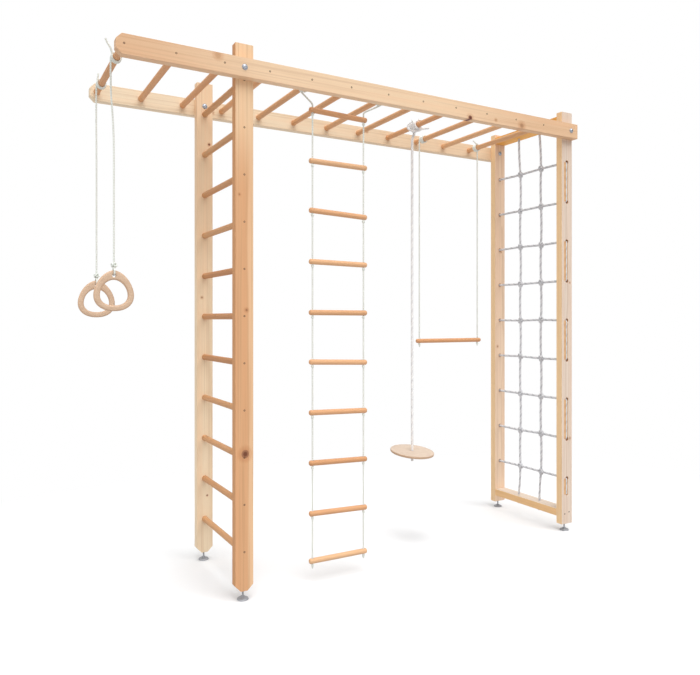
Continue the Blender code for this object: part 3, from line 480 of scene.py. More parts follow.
def hole_shade_row(nodes, run, wide, first, last, step, middle, radius):
    """1 on a row of holes along the piece, for painted shade in and round each hole."""
    off = (((run - first) / step + 0.5).part() - 0.5) * step
    aside = wide - middle
    far = (off * off + aside * aside).root()
    outer, inner = HOLE_SHADE_FADE
    within = nodes.ease(run, first - outer, first - inner) * nodes.ease(run, last + outer, last + inner)
    return nodes.ease(far, 1.35 * radius, 0.95 * radius) * within


def wood_finish(
    name,
    along,
    pale,
    seed,
    pith,
    spacing,
    knots=(),
    side=None,
    deep=(),
    sap=None,
    rubbed=None,
    holes=None,
    own=False,
):
    """Straight-grained wood: growth rings about a pith line, fibres along the piece, and branch knots.

    pith is the ring centre across the piece, and knots are (along, across, radius, darkness).
    side is the tone of the faces to the left and right, where it differs: the wood's own golden tone on
    the net posts and the bottom rail, and a painted shade on the ladder's front post.
    deep lists where along the piece the wood grows deeper, from one place to another, and by how much.
    sap gives the two places across the piece between which it grows paler again.
    rubbed is a warm stripe of painted shade on the front face beside a rope in its groove: its middle,
    half width and spans.
    holes is a row of rope holes with a painted brown shade in and round them: first, last and step along,
    then their middle and radius.
    own is set for copies of one piece, so that the grain follows each copy.
    """
    material, nodes, shader = new_finish(name)
    if own:
        place = nodes.attribute("own", 1)
        shift = nodes.attribute("piece", 2)
    else:
        place = nodes.place()
        shift = 0.0
    x, y, z = nodes.split(place)
    run, wide, thick = {"X": (x, z, y), "Y": (y, x, z), "Z": (z, x, y)}[along]
    start = run + shift * 9.0 + seed

    def streaks(long_scale, cross_scale, detail):
        cells = nodes.vector(start * long_scale, (wide + shift) * cross_scale, thick * cross_scale)
        return nodes.noise(cells, 1.0, detail, 0.6)

    wander = streaks(1.1, 7.0, 2.0) - 0.5
    across = wide - pith[0] + wander * 0.030
    inward = thick - pith[1] + wander * 0.018
    radius = (across * across + inward * inward).root()
    reaches = []
    for at, off, size, _ in knots:
        rough = wander * (0.6 * size)
        far_along = (run - at + rough) / (1.05 * size)
        far_across = (wide - off + rough) / size
        reach = far_along * far_along + far_across * far_across
        radius = radius + (0.8 * size) / (1.0 + reach * reach * 0.25)
        reaches.append(reach)
    ring = (radius / spacing + shift * 3.0).part()
    late = ring * ring * ring
    fibre = streaks(7.0, 520.0, 3.0)
    grain = nodes.ease(streaks(1.3, 105.0, 2.0), 0.42, 0.70)
    band = nodes.ease(streaks(0.6, 34.0, 2.0), 0.40, 0.66)
    blotch = nodes.ease(streaks(4.0, 15.0, 2.0), 0.45, 0.75)
    rosy = tuple(c * drop for c, drop in zip(pale, (0.97, 0.89, 0.84)))
    body = nodes.mix(late * 0.55 + fibre * 0.20, pale, shade(pale, 0.36))
    body = nodes.mix(grain * 0.72, body, shade(pale, 0.32))
    body = nodes.mix(band * 0.70, body, rosy)
    body = nodes.mix(blotch * 0.28, body, shade(pale, 0.18))
    heartwood = 1.0 if sap is None else 1.0 - nodes.ease(wide + wander * 0.03, *sap) * 0.6
    for shallow, full, share in deep:
        body = nodes.stain(nodes.ease(run, shallow, full) * heartwood * share, body, DEEP_STAIN)
    if own:
        body = nodes.stain(shift, body, DEEP_STAIN)
    # Faces to the left and right take the side tone: a painted shade on the ladder's front post, the
    # wood's own tone elsewhere
    if side is not None:
        tint = nodes.mix(late * 0.40 + grain * 0.35, side, shade(side, 0.28))
        body = nodes.mix(nodes.ease(nodes.normal()[0].size(), 0.45, 0.8), body, tint)
    # A warm stripe of painted shade beside the rope in its groove, marked with the painted shade of its
    # strands
    if rubbed is not None:
        marks = (run * (2 * math.pi / GROOVE_SHADE_REPEAT)).wave() * 0.5 + 0.5
        warm = nodes.mix(marks * 0.6, GROOVE_SHADE_WARM, GROOVE_SHADE_DARK)
        front = nodes.ease(nodes.normal()[1], -0.6, -0.9)
        body = nodes.mix(rubbed_stripe(nodes, run, wide, *rubbed) * front, body, warm)
    # Painted shade in and round each rope hole
    if holes is not None:
        body = nodes.mix(hole_shade_row(nodes, run, wide, *holes) * 0.8, body, HOLE_SHADE)
    tone = settings().timber.knot
    for reach, (_, _, _, dark) in zip(reaches, knots):
        ring_tone = nodes.mix((reach.root() * 17.0).wave() * 0.2 + 0.3, KNOT_PALE, tone)
        heart = nodes.mix(dark, ring_tone, tone)
        body = nodes.stain(nodes.ease(reach, 6.0, 1.0) * 0.55, body, DEEP_STAIN)
        body = nodes.mix(nodes.ease(reach, 1.25, 0.7) * (0.32 + 0.63 * dark), body, heart)
        body = nodes.mix(nodes.ease(reach, 0.55, 0.10) * dark, body, shade(tone, 0.65))
    rough = 0.46 + fibre * 0.18 + late * 0.05
    nodes.surface(shader, body, rough, 0.30, (fibre * 0.7 + late * 0.4, 0.25, 0.0006))
    return material


def ply_finish(name, face, core, ply, flat, seed):
    """Veneered board: fine grain on the faces and stripes of plies where the edge is rounded.

    flat gives the board's middle, its thickness direction as a unit vector, and its thickness.
    """
    material, nodes, shader = new_finish(name)
    place = nodes.place()
    middle, normal, thickness = flat
    off = nodes.node("ShaderNodeVectorMath", {"operation": "SUBTRACT"}, {0: place, 1: middle})
    height = nodes.node("ShaderNodeVectorMath", {"operation": "DOT_PRODUCT"}, {0: off, 1: normal}, 1)
    x, y, z = nodes.split(off)
    layer = (height / (2 * ply) + 0.25).part()
    edge = nodes.ease(height.size(), thickness / 2 - 0.3 * ply, thickness / 2 - 0.7 * ply)
    stripe = nodes.ease((layer - 0.5).size(), 0.20, 0.30) * edge
    grain = nodes.noise(nodes.vector((x + seed) * 14.0, y * 160.0, z * 160.0), 1.0, 3.0, 0.6)
    pores = nodes.noise(nodes.vector((x + seed) * 60.0, y * 900.0, z * 900.0), 1.0, 2.0, 0.6)
    cloud = nodes.noise(nodes.vector(x * 9.0, y * 9.0, z * 9.0 + seed), 1.0, 2.0, 0.5)
    body = nodes.mix(nodes.ease(grain, 0.35, 0.75) * 0.6, face, shade(face, 0.22))
    body = nodes.mix(nodes.ease(cloud, 0.4, 0.75) * 0.35, body, shade(face, 0.16))
    body = nodes.mix(edge * 0.35 + stripe * 0.45, body, core)
    nodes.surface(shader, body, 0.38 + pores * 0.2, 0.4, (pores * 0.6 + stripe * 0.4, 0.22, 0.0005))
    return material


# Rope and steel finishes


def rope_finish(name, pale, tracer, fleck, yarns, slant, share):
    """Yarn along a rope's own UV map: shade between the strands, a tracer strand and dark flecks."""
    material, nodes, shader = new_finish(name)
    uv = nodes.node("ShaderNodeUVMap", {"uv_map": "along"})
    u, v, _ = nodes.split(uv)
    groove = nodes.attribute("groove", 2)
    traced = nodes.attribute("tracer", 2)
    yarn = ((u * yarns + v * slant) * (2 * math.pi)).wave()
    speck = nodes.noise(nodes.vector(u * 5.0 + v * slant * 0.2, v * 95.0, 0.0), 1.0, 2.0, 0.6)
    cloud = nodes.noise(nodes.vector(v * 11.0, u * 2.0, 3.0), 1.0, 2.0, 0.5)
    dark = nodes.ease(speck, 0.66 - share, 0.74 - share)
    body = nodes.mix(yarn * 0.12 + 0.12, pale, shade(pale, 0.22))
    body = nodes.mix(cloud * 0.35, body, shade(pale, 0.16))
    body = nodes.mix(traced * (cloud * 0.5 + 0.5), body, tracer)
    body = nodes.mix(nodes.ease(groove, 0.35, 1.0) * 0.42, body, shade(pale, 0.55))
    body = nodes.mix(dark * 0.75, body, fleck)
    nodes.surface(shader, body, 0.72 + cloud * 0.2, 0.25, (yarn * 0.5 + cloud * 0.3, 0.5, 0.0006))
    return material


def steel_finish(name, tone, rough, seed, metal=1.0):
    """Zinc plated steel, faintly clouded."""
    material, nodes, shader = new_finish(name, Metallic=metal)
    place = nodes.place()
    cloud = nodes.noise(place, 140.0 + seed, 3.0, 0.6)
    scratch = nodes.noise(place, 900.0, 2.0, 0.5)
    clouded = nodes.mix(cloud * 0.7, tone, shade(tone, 0.22))
    nodes.surface(shader, clouded, rough + cloud * 0.14, 0.5, (scratch, 0.12, 0.0003))
    return material


# Pieces


def box_middle(node):
    low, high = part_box(node)
    return (low + high) / 2


def half_size(node):
    low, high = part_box(node)
    return (high - low) / 2


def nodes_named(prefix):
    """The CAD nodes whose names begin with a prefix, in order."""
    return sorted(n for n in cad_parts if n.startswith(prefix))


def piece(name, mesh, body, finish, nodes=()):
    """Puts a mesh on a body, in place of the CAD nodes that it stands for.

    Without a finish, the mesh keeps the one that it has.
    """
    obj = bpy.data.objects.new(name, mesh)
    bpy.context.scene.collection.objects.link(obj)
    if finish is not None:
        mesh.materials.clear()
        mesh.materials.append(finish)
    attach(obj, body)
    if nodes:
        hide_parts(*nodes)
    return obj


def evaluated_mesh(obj):
    graph = bpy.context.evaluated_depsgraph_get()
    return bpy.data.meshes.new_from_object(obj.evaluated_get(graph))


def smooth(mesh, degrees=35.0):
    mesh.shade_smooth()
    mesh.set_sharp_from_angle(angle=math.radians(degrees))
    return mesh


def bmesh_to_mesh(name, bm):
    bmesh.ops.recalc_face_normals(bm, faces=bm.faces)
    mesh = bpy.data.meshes.new(name)
    bm.to_mesh(mesh)
    bm.free()
    return mesh


def board_mesh(name, outline, low, high, edge_round, axis="Y"):
    """A closed outline, given across and up, run from low to high along an axis, with rounded edges."""
    turn = {
        "Y": lambda a, b, depth: (a, depth, b),
        "Z": lambda a, b, depth: (a, b, depth),
    }[axis]
    bm = bmesh.new()
    verts = [bm.verts.new(turn(a, b, low)) for a, b in outline]
    face = bm.faces.new(verts)
    grown = bmesh.ops.extrude_face_region(bm, geom=[face])
    moved = [v for v in grown["geom"] if isinstance(v, bmesh.types.BMVert)]
    bmesh.ops.translate(bm, verts=moved, vec=turn(0.0, 0.0, high - low))
    bmesh.ops.recalc_face_normals(bm, faces=bm.faces)
    if edge_round > 0:
        bmesh.ops.bevel(
            bm, geom=list(bm.edges), offset=edge_round, segments=4, profile=0.5, affect="EDGES"
        )
    return bmesh_to_mesh(name, bm)


def rod_mesh(name, middle, radius, reach, axis, sides=32):
    """A plain cylinder, used to cut a hole."""
    turn = {
        "X": Matrix.Rotation(math.pi / 2, 4, "Y"),
        "Y": Matrix.Rotation(math.pi / 2, 4, "X"),
        "Z": Matrix.Identity(4),
    }[axis]
    bm = bmesh.new()
    bmesh.ops.create_cone(
        bm,
        cap_ends=True,
        segments=sides,
        radius1=radius,
        radius2=radius,
        depth=reach,
        matrix=Matrix.Translation(middle) @ turn,
    )
    return bmesh_to_mesh(name, bm)


def slot_outline(x, low, high, radius, steps=10):
    """A slot with round ends, upright about x."""
    points = []
    for centre, start in ((high, 0.0), (low, math.pi)):
        for i in range(steps + 1):
            angle = start + math.pi * i / steps
            points.append((x + radius * math.cos(angle), centre + radius * math.sin(angle)))
    return points


def cut(mesh, cutters):
    """Takes closed meshes out of a mesh, in as many passes as there are groups that don't touch."""
    body = bpy.data.objects.new("cut_body", mesh)
    bpy.context.scene.collection.objects.link(body)
    helpers = []
    for group in cutters:
        bm = bmesh.new()
        for cutter in group:
            bm.from_mesh(cutter)
            bpy.data.meshes.remove(cutter)
        helper = bpy.data.objects.new("cutter", bmesh_to_mesh("cutter", bm))
        bpy.context.scene.collection.objects.link(helper)
        helper.hide_render = True
        modifier = body.modifiers.new("cut", "BOOLEAN")
        modifier.operation = "DIFFERENCE"
        modifier.solver = "EXACT"
        modifier.object = helper
        helpers.append(helper)
    result = evaluated_mesh(body)
    result.name = mesh.name
    for obj in [body, *helpers]:
        bpy.data.objects.remove(obj)
    return result


def lathe_mesh(name, profile, sides, closed=False):
    """A profile of (radius, height) points turned about Z."""
    bm = bmesh.new()
    rings = []
    for radius, height in profile:
        if radius < 1e-6:
            rings.append([bm.verts.new((0.0, 0.0, height))])
            continue
        angles = [2 * math.pi * i / sides for i in range(sides)]
        rings.append(
            [bm.verts.new((radius * math.cos(a), radius * math.sin(a), height)) for a in angles]
        )
    pairs = list(zip(rings, rings[1:])) + ([(rings[-1], rings[0])] if closed else [])
    for first, second in pairs:
        for i in range(sides):
            j = (i + 1) % sides
            corners = [first[i % len(first)], first[j % len(first)]]
            corners += [second[j % len(second)], second[i % len(second)]]
            unique = list(dict.fromkeys(corners))
            if len(unique) > 2:
                bm.faces.new(unique)
    return bmesh_to_mesh(name, bm)


def round_corner(centre, radius, start, end, steps=5):
    """Points on an arc, in degrees, for a lathe profile."""
    angles = [math.radians(start + (end - start) * i / steps) for i in range(steps + 1)]
    return [(centre[0] + radius * math.cos(a), centre[1] + radius * math.sin(a)) for a in angles]


def keep_own_place(mesh):
    """Stores each point's place in the piece's own frame, for grain that follows the piece."""
    own = mesh.attributes.new("own", "FLOAT_VECTOR", "POINT")
    places = np.zeros(len(mesh.vertices) * 3, np.float32)
    mesh.vertices.foreach_get("co", places)
    own.data.foreach_set("vector", places)
    return mesh


def repeat_tree():
    """A node tree that sets copies of a piece on points, each turned by the point's own angles."""
    name = "set_copies"
    if name in bpy.data.node_groups:
        return bpy.data.node_groups[name]
    tree = bpy.data.node_groups.new(name, "GeometryNodeTree")
    for label, kind in (
        ("Points", "NodeSocketGeometry"),
        ("Piece", "NodeSocketObject"),
        ("Finish", "NodeSocketMaterial"),
        ("Seed", "NodeSocketInt"),
    ):
        tree.interface.new_socket(label, in_out="INPUT", socket_type=kind)
    tree.interface.new_socket("Pieces", in_out="OUTPUT", socket_type="NodeSocketGeometry")
    nodes = Nodes(tree)
    inputs = nodes.node("NodeGroupInput").socket.node.outputs
    points, part, finish, seed = [Wire(nodes, inputs[i]) for i in range(4)]
    info = nodes.node("GeometryNodeObjectInfo", {"transform_space": "ORIGINAL"}, {0: part}, 4)
    angles = nodes.node(
        "GeometryNodeInputNamedAttribute", {"data_type": "FLOAT_VECTOR"}, {"Name": "turn"}
    )
    turn = nodes.node("FunctionNodeEulerToRotation", None, {0: angles})
    sockets = {"Points": points, "Instance": info, "Rotation": turn}
    copies = nodes.node("GeometryNodeInstanceOnPoints", None, sockets)
    chance = nodes.node("FunctionNodeRandomValue", {"data_type": "FLOAT"}, {"Seed": seed}, 1)
    marked = nodes.node(
        "GeometryNodeStoreNamedAttribute",
        {"data_type": "FLOAT", "domain": "INSTANCE"},
        {"Geometry": copies, "Name": "piece", "Value": chance},
    )
    real = nodes.node("GeometryNodeRealizeInstances", None, {0: marked})
    painted = nodes.node("GeometryNodeSetMaterial", None, {"Geometry": real, "Material": finish})
    end = tree.nodes.new("NodeGroupOutput")
    nodes.feed(end, {0: painted})
    return tree


def repeated(name, part_mesh, places, turns, finish, seed, body, nodes=()):
    """Copies of a part on the given places, as one piece with a plain mesh."""
    spots = bpy.data.meshes.new(name)
    spots.from_pydata([tuple(p) for p in places], [], [])
    angles = spots.attributes.new("turn", "FLOAT_VECTOR", "POINT")
    angles.data.foreach_set("vector", np.array(turns, np.float32).ravel())
    holder = bpy.data.objects.new(name, spots)
    part = bpy.data.objects.new(name + "_part", part_mesh)
    for obj in (holder, part):
        bpy.context.scene.collection.objects.link(obj)
    tree = repeat_tree()
    modifier = holder.modifiers.new("copies", "NODES")
    modifier.node_group = tree
    values = {"Piece": part, "Finish": finish, "Seed": seed}
    for item in tree.interface.items_tree:
        if item.in_out == "INPUT" and item.name in values:
            modifier[item.identifier] = values[item.name]
    result = evaluated_mesh(holder)
    result.name = name
    for obj in (holder, part):
        bpy.data.objects.remove(obj)
    if not result.polygons:
        raise RuntimeError(f"{name}: no copies were made")
    return piece(name, result, body, None, nodes)


# Ropes


def easing(start, start_heading, end, end_heading, end_reach=None):
    """A smooth run from start to end, along the two headings at its ends.

    end_reach is how far from the end its heading is felt: half the run where none is given.
    """
    start, end = Vector(start), Vector(end)
    handle = (end - start).length / 2
    first = start + Vector(start_heading).normalized() * handle
    last = end - Vector(end_heading).normalized() * (end_reach or handle)
    return interpolate_bezier(start, first, last, end, EASE_STEPS + 1)


def winding(centre, radius, start, turns, sense, advance):
    """Turns round an axis along Y, from an angle above +X, advancing along Y each turn."""
    points = []
    for i in range(round(turns * LOOP_POINTS) + 1):
        share = i / LOOP_POINTS
        angle = start + sense * share * 2 * math.pi
        offset = (radius * math.cos(angle), advance * share, radius * math.sin(angle))
        points.append(Vector(centre) + Vector(offset))
    return points


def winding_slope(radius, advance):
    return Vector((0, advance / (2 * math.pi * radius), 0))


def tail(tip_offset, start, heading, radius, advance):
    """A loose end that comes in to the start of a winding along the winding's own slope."""
    slope = winding_slope(radius, advance)
    offset = Vector(tip_offset)
    tip = Vector(start) + offset - slope * offset.length
    return easing(tip, -offset, start, Vector(heading) + slope)[:-1]


def quarter_bend(corner, heading_in, heading_out, radius):
    """Points round a corner, from one heading to another at right angles to it."""
    heading_in, heading_out = Vector(heading_in), Vector(heading_out)
    hub = Vector(corner) + (heading_out - heading_in) * radius
    points = []
    for i in range(BEND_STEPS + 1):
        angle = i / BEND_STEPS * math.pi / 2
        points.append(hub + (heading_in * math.sin(angle) - heading_out * math.cos(angle)) * radius)
    return points


def even_line(points, step):
    """The points of a route again, evenly spaced, and how far along it each one is."""
    line = np.array([tuple(p) for p in points])
    keep = np.concatenate([[True], np.linalg.norm(np.diff(line, axis=0), axis=1) > 1e-7])
    line = line[keep]
    along = np.concatenate([[0.0], np.cumsum(np.linalg.norm(np.diff(line, axis=0), axis=1))])
    at = np.linspace(0.0, along[-1], max(3, math.ceil(along[-1] / step) + 1))
    even = np.stack([np.interp(at, along, line[:, k]) for k in range(3)], axis=1)
    for _ in range(2):
        even[1:-1] = (even[:-2] + 2 * even[1:-1] + even[2:]) / 4
    return even, at


def twisted(lay, strands=3, depth=0.22, crest=1.04):
    """The section of a twisted rope: its relief, its grooves and its tracer strand."""

    def section(angle, along):
        turn = angle - 2 * math.pi * along / lay
        crown = np.abs(np.cos(strands / 2 * turn)) ** 0.75
        tracer = np.clip(4.0 * np.cos(turn) - 2.2, 0.0, 1.0)
        return crest - depth + depth * crown, 1 - crown, tracer

    return section


def braided(crossing, yarns=4, depth=0.12):
    """The section of a braided rope: raised where its yarns cross over."""

    def section(angle, along):
        slide = math.pi * along / crossing
        crown = np.cos(yarns * angle + slide) * np.cos(yarns * angle - slide)
        return 1 - depth / 2 + depth / 2 * crown, 0.5 - 0.5 * crown, np.zeros_like(crown)

    return section


def rope_mesh(name, line, along, radius, sides, section):
    """A closed tube along a line, with its section's relief, its UV map, its grooves and its tracer."""
    count = len(line)
    heading = np.gradient(line, axis=0)
    heading /= np.linalg.norm(heading, axis=1)[:, None]
    aside = np.cross(heading[0], NO_ROPE_HEADING)
    asides = np.zeros_like(line)
    for i in range(count):
        aside = aside - heading[i] * (aside @ heading[i])
        aside = aside / np.linalg.norm(aside)
        asides[i] = aside
    third = np.cross(heading, asides)
    angle = np.arange(sides) * (2 * math.pi / sides)
    share, groove, tracer = section(angle[None, :], along[:, None])
    ring = np.cos(angle)[None, :, None] * asides[:, None] + np.sin(angle)[None, :, None] * third[:, None]
    verts = line[:, None] + ring * (radius * share)[:, :, None]
    tip = radius * ROPE_TIP
    tips = np.stack([line[0] - heading[0] * tip, line[-1] + heading[-1] * tip])
    verts = np.concatenate([verts.reshape(-1, 3), tips])
    i, j = np.meshgrid(np.arange(count - 1), np.arange(sides), indexing="ij")
    k = (j + 1) % sides
    quads = np.stack([i * sides + j, i * sides + k, (i + 1) * sides + k, (i + 1) * sides + j], axis=-1)
    pairs = list(zip(range(sides), k[0]))
    first = [(count * sides, after, at) for at, after in pairs]
    last_row = (count - 1) * sides
    last = [(count * sides + 1, last_row + at, last_row + after) for at, after in pairs]
    mesh = bpy.data.meshes.new(name)
    mesh.from_pydata(verts.tolist(), [], quads.reshape(-1, 4).tolist() + first + last)
    u = np.stack([j, j + 1, j + 1, j], axis=-1) / sides
    v = np.stack([along[i], along[i], along[i + 1], along[i + 1]], axis=-1)
    uv = np.stack([u, v], axis=-1).reshape(-1, 2)
    ends = np.zeros((6 * sides, 2))
    ends[3 * sides :, 1] = along[-1]
    layer = mesh.uv_layers.new(name="along")
    layer.data.foreach_set("uv", np.concatenate([uv, ends]).astype(np.float32).ravel())
    for label, values in (("groove", groove), ("tracer", tracer)):
        store = mesh.attributes.new(label, "FLOAT", "POINT")
        store.data.foreach_set("value", np.concatenate([values.ravel(), [0.5, 0.5]]).astype(np.float32))
    mesh.shade_smooth()
    return mesh


def knot_mesh(name, width, height, rope_radius, sides, section):
    """A tied knot about Z: one rope wound twice round and three times through itself."""
    radius = 0.86 * rope_radius
    swing = min(0.45 * (width / 2 - radius), 0.62 * rope_radius)
    mean = width / 2 - radius - swing
    rise = height / 2 - radius
    points = []
    steps = 96
    for i in range(steps + 1):
        t = math.pi / 3 + 2 * math.pi * i / steps
        reach = mean + swing * math.cos(3 * t)
        points.append((reach * math.cos(2 * t), reach * math.sin(2 * t), rise * math.sin(3 * t)))
    line, along = even_line(points, rope_radius * 0.34)
    return rope_mesh(name, line, along, radius, sides, section)


def bar_axis(index):
    return box_middle(f"monkey_bar_{index + 1:02d}")


def bar_radius():
    return half_size("monkey_bar_01").z


class RopeKit:
    """A rope's diameter, relief and finish, from which its lengths and knots are made."""

    def __init__(self, diameter, sides, step, section, finish, slot):
        self.radius = diameter / 2
        self.diameter = diameter
        self.wrap = bar_radius() + FIT_GAP + self.radius
        self.advance = TURN_PITCH * diameter
        self.sides = sides
        self.step = step
        self.section = section
        self.finish = finish
        self.slot = slot

    def rope(self, name, points, body, nodes, far_end, lay, extras=()):
        """One rope along a route, in place of the CAD nodes that it stands for; the knots passed with it
        are not used.
        """
        line, along = even_line(points, self.step)
        mesh = rope_mesh(name, line, along, self.radius, self.sides, self.section)
        obj = piece(name, mesh, body, self.finish, nodes)
        return obj

    def knots(self, name, places, body, width, height, tilt=(0.0, 0.0, 0.0), seed=1):
        """Knots of one size on the given places, as one piece."""
        part = knot_mesh(name, width, height, self.radius, max(8, self.sides // 2), self.section)
        turns = [(tilt[0], tilt[1], tilt[2] + KNOT_TURN * i) for i in range(len(places))]
        return repeated(name, part, places, turns, self.finish, seed, body)

    def end_knot(self, name, x, y, low, body):
        """The knot at the lower end of a rope, below what hangs on it."""
        height = KNOT_HEIGHT * self.diameter
        place = Vector((x, y, low + ROPE_END + height / 2))
        return self.knots(name, [place], body, KNOT_WIDTH * self.diameter, height)


def thin_kit():
    rope = settings().rope
    finish = bpy.data.materials.get("pale_braid") or rope_finish(
        "pale_braid", rope.thin_colour, rope.fleck, rope.fleck, yarns=16.0, slant=420.0, share=-0.02
    )
    section = braided(rope.braid)
    return RopeKit(rope.thin, sides=16, step=0.0022, section=section, finish=finish, slot="thin_rope")


def thick_kit(name, diameter, lay, pale, tracer):
    fleck = settings().rope.fleck
    finish = rope_finish(name, pale, tracer, fleck, yarns=21.0, slant=260.0, share=0.0)
    section = twisted(lay)
    return RopeKit(diameter, sides=18, step=0.0032, section=section, finish=finish, slot="thick_rope")


def ring_hole(side):
    """The middle of a ring's rope hole."""
    middle = box_middle(f"ring_{side}")
    middle.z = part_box(f"ring_{side}")[1].z - RING_HOLE_BELOW_TOP
    return middle


def step_fall(step):
    """How steeply a step of the rope ladder hangs down to the right, from its box."""
    half = half_size(step)
    return max(0.0, half.z - half.y) / half.x


class CLIMBING_FRAME_OT_ring_ropes(bpy.types.Operator):
    """Two thin ropes with a hitch on the first bar, a knot and a loop through a ring"""

    bl_idname = "climbing_frame.ring_ropes"
    bl_label = "Ring Ropes"

    def execute(self, context):
        kit = thin_kit()
        for side in SIDES:
            seat = settings().board.ring_hole / 2 - kit.radius - FIT_GAP
            loop = ring_hole(side) + Vector((0, 0, seat))
            body = f"ring_rope_{side}"
            route, knot_place = self.route(side, loop, kit.wrap, kit.advance)
            tilt = (-math.atan2(RING_KNOT_LEAN, RING_KNOT_HEIGHT), 0.0, 0.0)
            name = f"ring_knot_{side}"
            knot = kit.knots(name, [knot_place], body, RING_KNOT_WIDTH, RING_KNOT_HEIGHT, tilt)
            kit.rope(f"ring_cord_{side}", route, body, [body], "knot", "hanging", [knot])
        return {"FINISHED"}

    def route(self, side, loop, wrap, advance):
        """From the loose end, round the bar, down to the knot, through the ring and back to the knot."""
        bar = bar_axis(0)
        bar.y = loop.y
        left = Vector((-wrap, 0, 0))
        down, up, rearward = Vector((0, 0, -1)), Vector((0, 0, 1)), Vector((0, 1, 0))
        first = bar - Vector((0, RING_WRAP_TURNS * advance, 0))
        across, rise = RING_TAIL[side]
        route = tail((across, 0, rise), first + left, down, wrap, advance)
        route += winding(first, wrap, math.pi, RING_WRAP_TURNS, 1, advance)
        gathered = Vector((loop.x, bar.y, bar.z - RING_GATHER))
        route += easing(bar + left, down + winding_slope(wrap, advance), gathered, down)[1:]
        foot = loop + up * RING_KNOT_ABOVE_LOOP - rearward * RING_KNOT_LEAN
        top = loop + up * (RING_KNOT_ABOVE_LOOP + RING_KNOT_HEIGHT)
        route += [top, foot]
        front = loop - rearward * RING_LOOP_SPREAD
        rear = loop + rearward * RING_LOOP_SPREAD
        route += easing(foot, down, front + up * RING_LOOP_BEND, down)[1:-1]
        route += quarter_bend(front, down, rearward, RING_LOOP_BEND)
        route += quarter_bend(rear, rearward, up, RING_LOOP_BEND)
        middle = (top + foot) / 2
        inside = middle + rearward * RING_LOOP_RETURN
        route += easing(rear + up * RING_LOOP_BEND, up, inside, up)[1:]
        return route, middle


class CLIMBING_FRAME_OT_rope_ladder_ropes(bpy.types.Operator):
    """The rope ladder's two ropes, with an eye on a bar each and a knot under every step"""

    bl_idname = "climbing_frame.rope_ladder_ropes"
    bl_label = "Rope Ladder Ropes"

    def execute(self, context):
        kit = thin_kit()
        steps = nodes_named("rope_ladder_step_")
        middle, radius = box_middle(steps[0]), half_size(steps[0]).y
        for label, index, hand in (("left", LADDER_ROPE_BARS[0], 1), ("right", LADDER_ROPE_BARS[1], -1)):
            node = f"rope_ladder_rope_{label}"
            low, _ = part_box(node)
            x = middle.x - hand * STEP_HOLE_SPACING / 2
            bar = bar_axis(index)
            bar.y = middle.y
            inlet = Vector((x, middle.y, middle.z + 2 * radius))
            route, heading = self.eye(bar, hand, inlet, kit)
            route += easing(route[-1], heading, inlet, (0, 0, -1), LADDER_ROPE_BEND)[1:]
            route.append(Vector((x, middle.y, low.z)))
            places = [self.under(step, x, kit) for step in steps]
            size = (KNOT_WIDTH * kit.diameter, KNOT_HEIGHT * kit.diameter)
            knots = kit.knots(f"step_knots_{label}", places, "rope_ladder", *size)
            cord = f"step_cord_{label}"
            kit.rope(cord, route, "rope_ladder", [node], "knot", "hanging", [knots])
        return {"FINISHED"}

    def under(self, step, x, kit):
        """The middle of the knot that carries a step at one of its holes."""
        middle = box_middle(step)
        seat = middle.z - step_fall(step) * (x - middle.x)
        drop = half_size(step).y + 2 * FIT_GAP + KNOT_HEIGHT * kit.radius
        return Vector((x, middle.y, seat - drop))

    def eye(self, bar, hand, target, kit):
        """One loose turn over a bar, from its tail to where it crosses below for a lower point."""
        radius = bar_radius() + EYE_TOP_GAP + kit.radius + EYE_SLACK
        centre = bar - Vector((0, 0, EYE_SLACK))
        across, fall = hand * (target.x - centre.x), target.z - centre.z
        leave = math.atan2(fall, across) - math.acos(radius / math.hypot(across, fall))
        points = []
        for i in range(LOOP_POINTS + 1):
            angle = leave + 2 * math.pi * i / LOOP_POINTS
            forward = kit.advance * (angle - math.pi / 2) / (2 * math.pi)
            offset = (hand * radius * math.cos(angle), forward, radius * math.sin(angle))
            points.append(centre + Vector(offset))
        heading = Vector((-hand * math.sin(leave), 0, math.cos(leave)))
        return [points[0] - heading * EYE_TAIL] + points, heading


class CLIMBING_FRAME_OT_seat_rope(bpy.types.Operator):
    """The thick rope of the disc seat, hitched on a bar and knotted below the seat"""

    bl_idname = "climbing_frame.seat_rope"
    bl_label = "Seat Rope"

    def execute(self, context):
        rope = settings().rope
        kit = thick_kit("seat_twist", rope.thick, rope.lay, rope.seat_colour, rope.seat_tracer)
        low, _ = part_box("swing_rope")
        bar = bar_axis(SWING_BAR)
        bar.y = box_middle("swing_disc").y
        wrap, advance = kit.wrap, kit.advance
        right, down = Vector((wrap, 0, 0)), Vector((0, 0, -1))
        first = bar - Vector((0, SWING_WRAP_TURNS * advance, 0))
        across, rise = SWING_TAIL
        route = tail((across, 0, rise), first + down * wrap, (-1, 0, 0), wrap, advance)
        route += winding(first, wrap, -math.pi / 2, SWING_WRAP_TURNS, -1, advance)
        gathered = bar + down * SWING_GATHER
        route += easing(bar + right, down + winding_slope(wrap, advance), gathered, down)[1:]
        route.append(Vector((bar.x, bar.y, low.z - SEAT_ROPE_END)))
        knot = kit.end_knot("seat_knot", bar.x, bar.y, low.z, "swing_rope")
        hitch = kit.knots(
            "seat_hitch",
            [(first + bar) / 2],
            "swing_rope",
            SWING_HITCH_WIDTH,
            SWING_HITCH_LENGTH,
            (math.pi / 2, 0.0, 0.0),
        )
        kit.rope("seat_cord", route, "swing_rope", ["swing_rope"], "knot", "hanging", [knot, hitch])
        return {"FINISHED"}


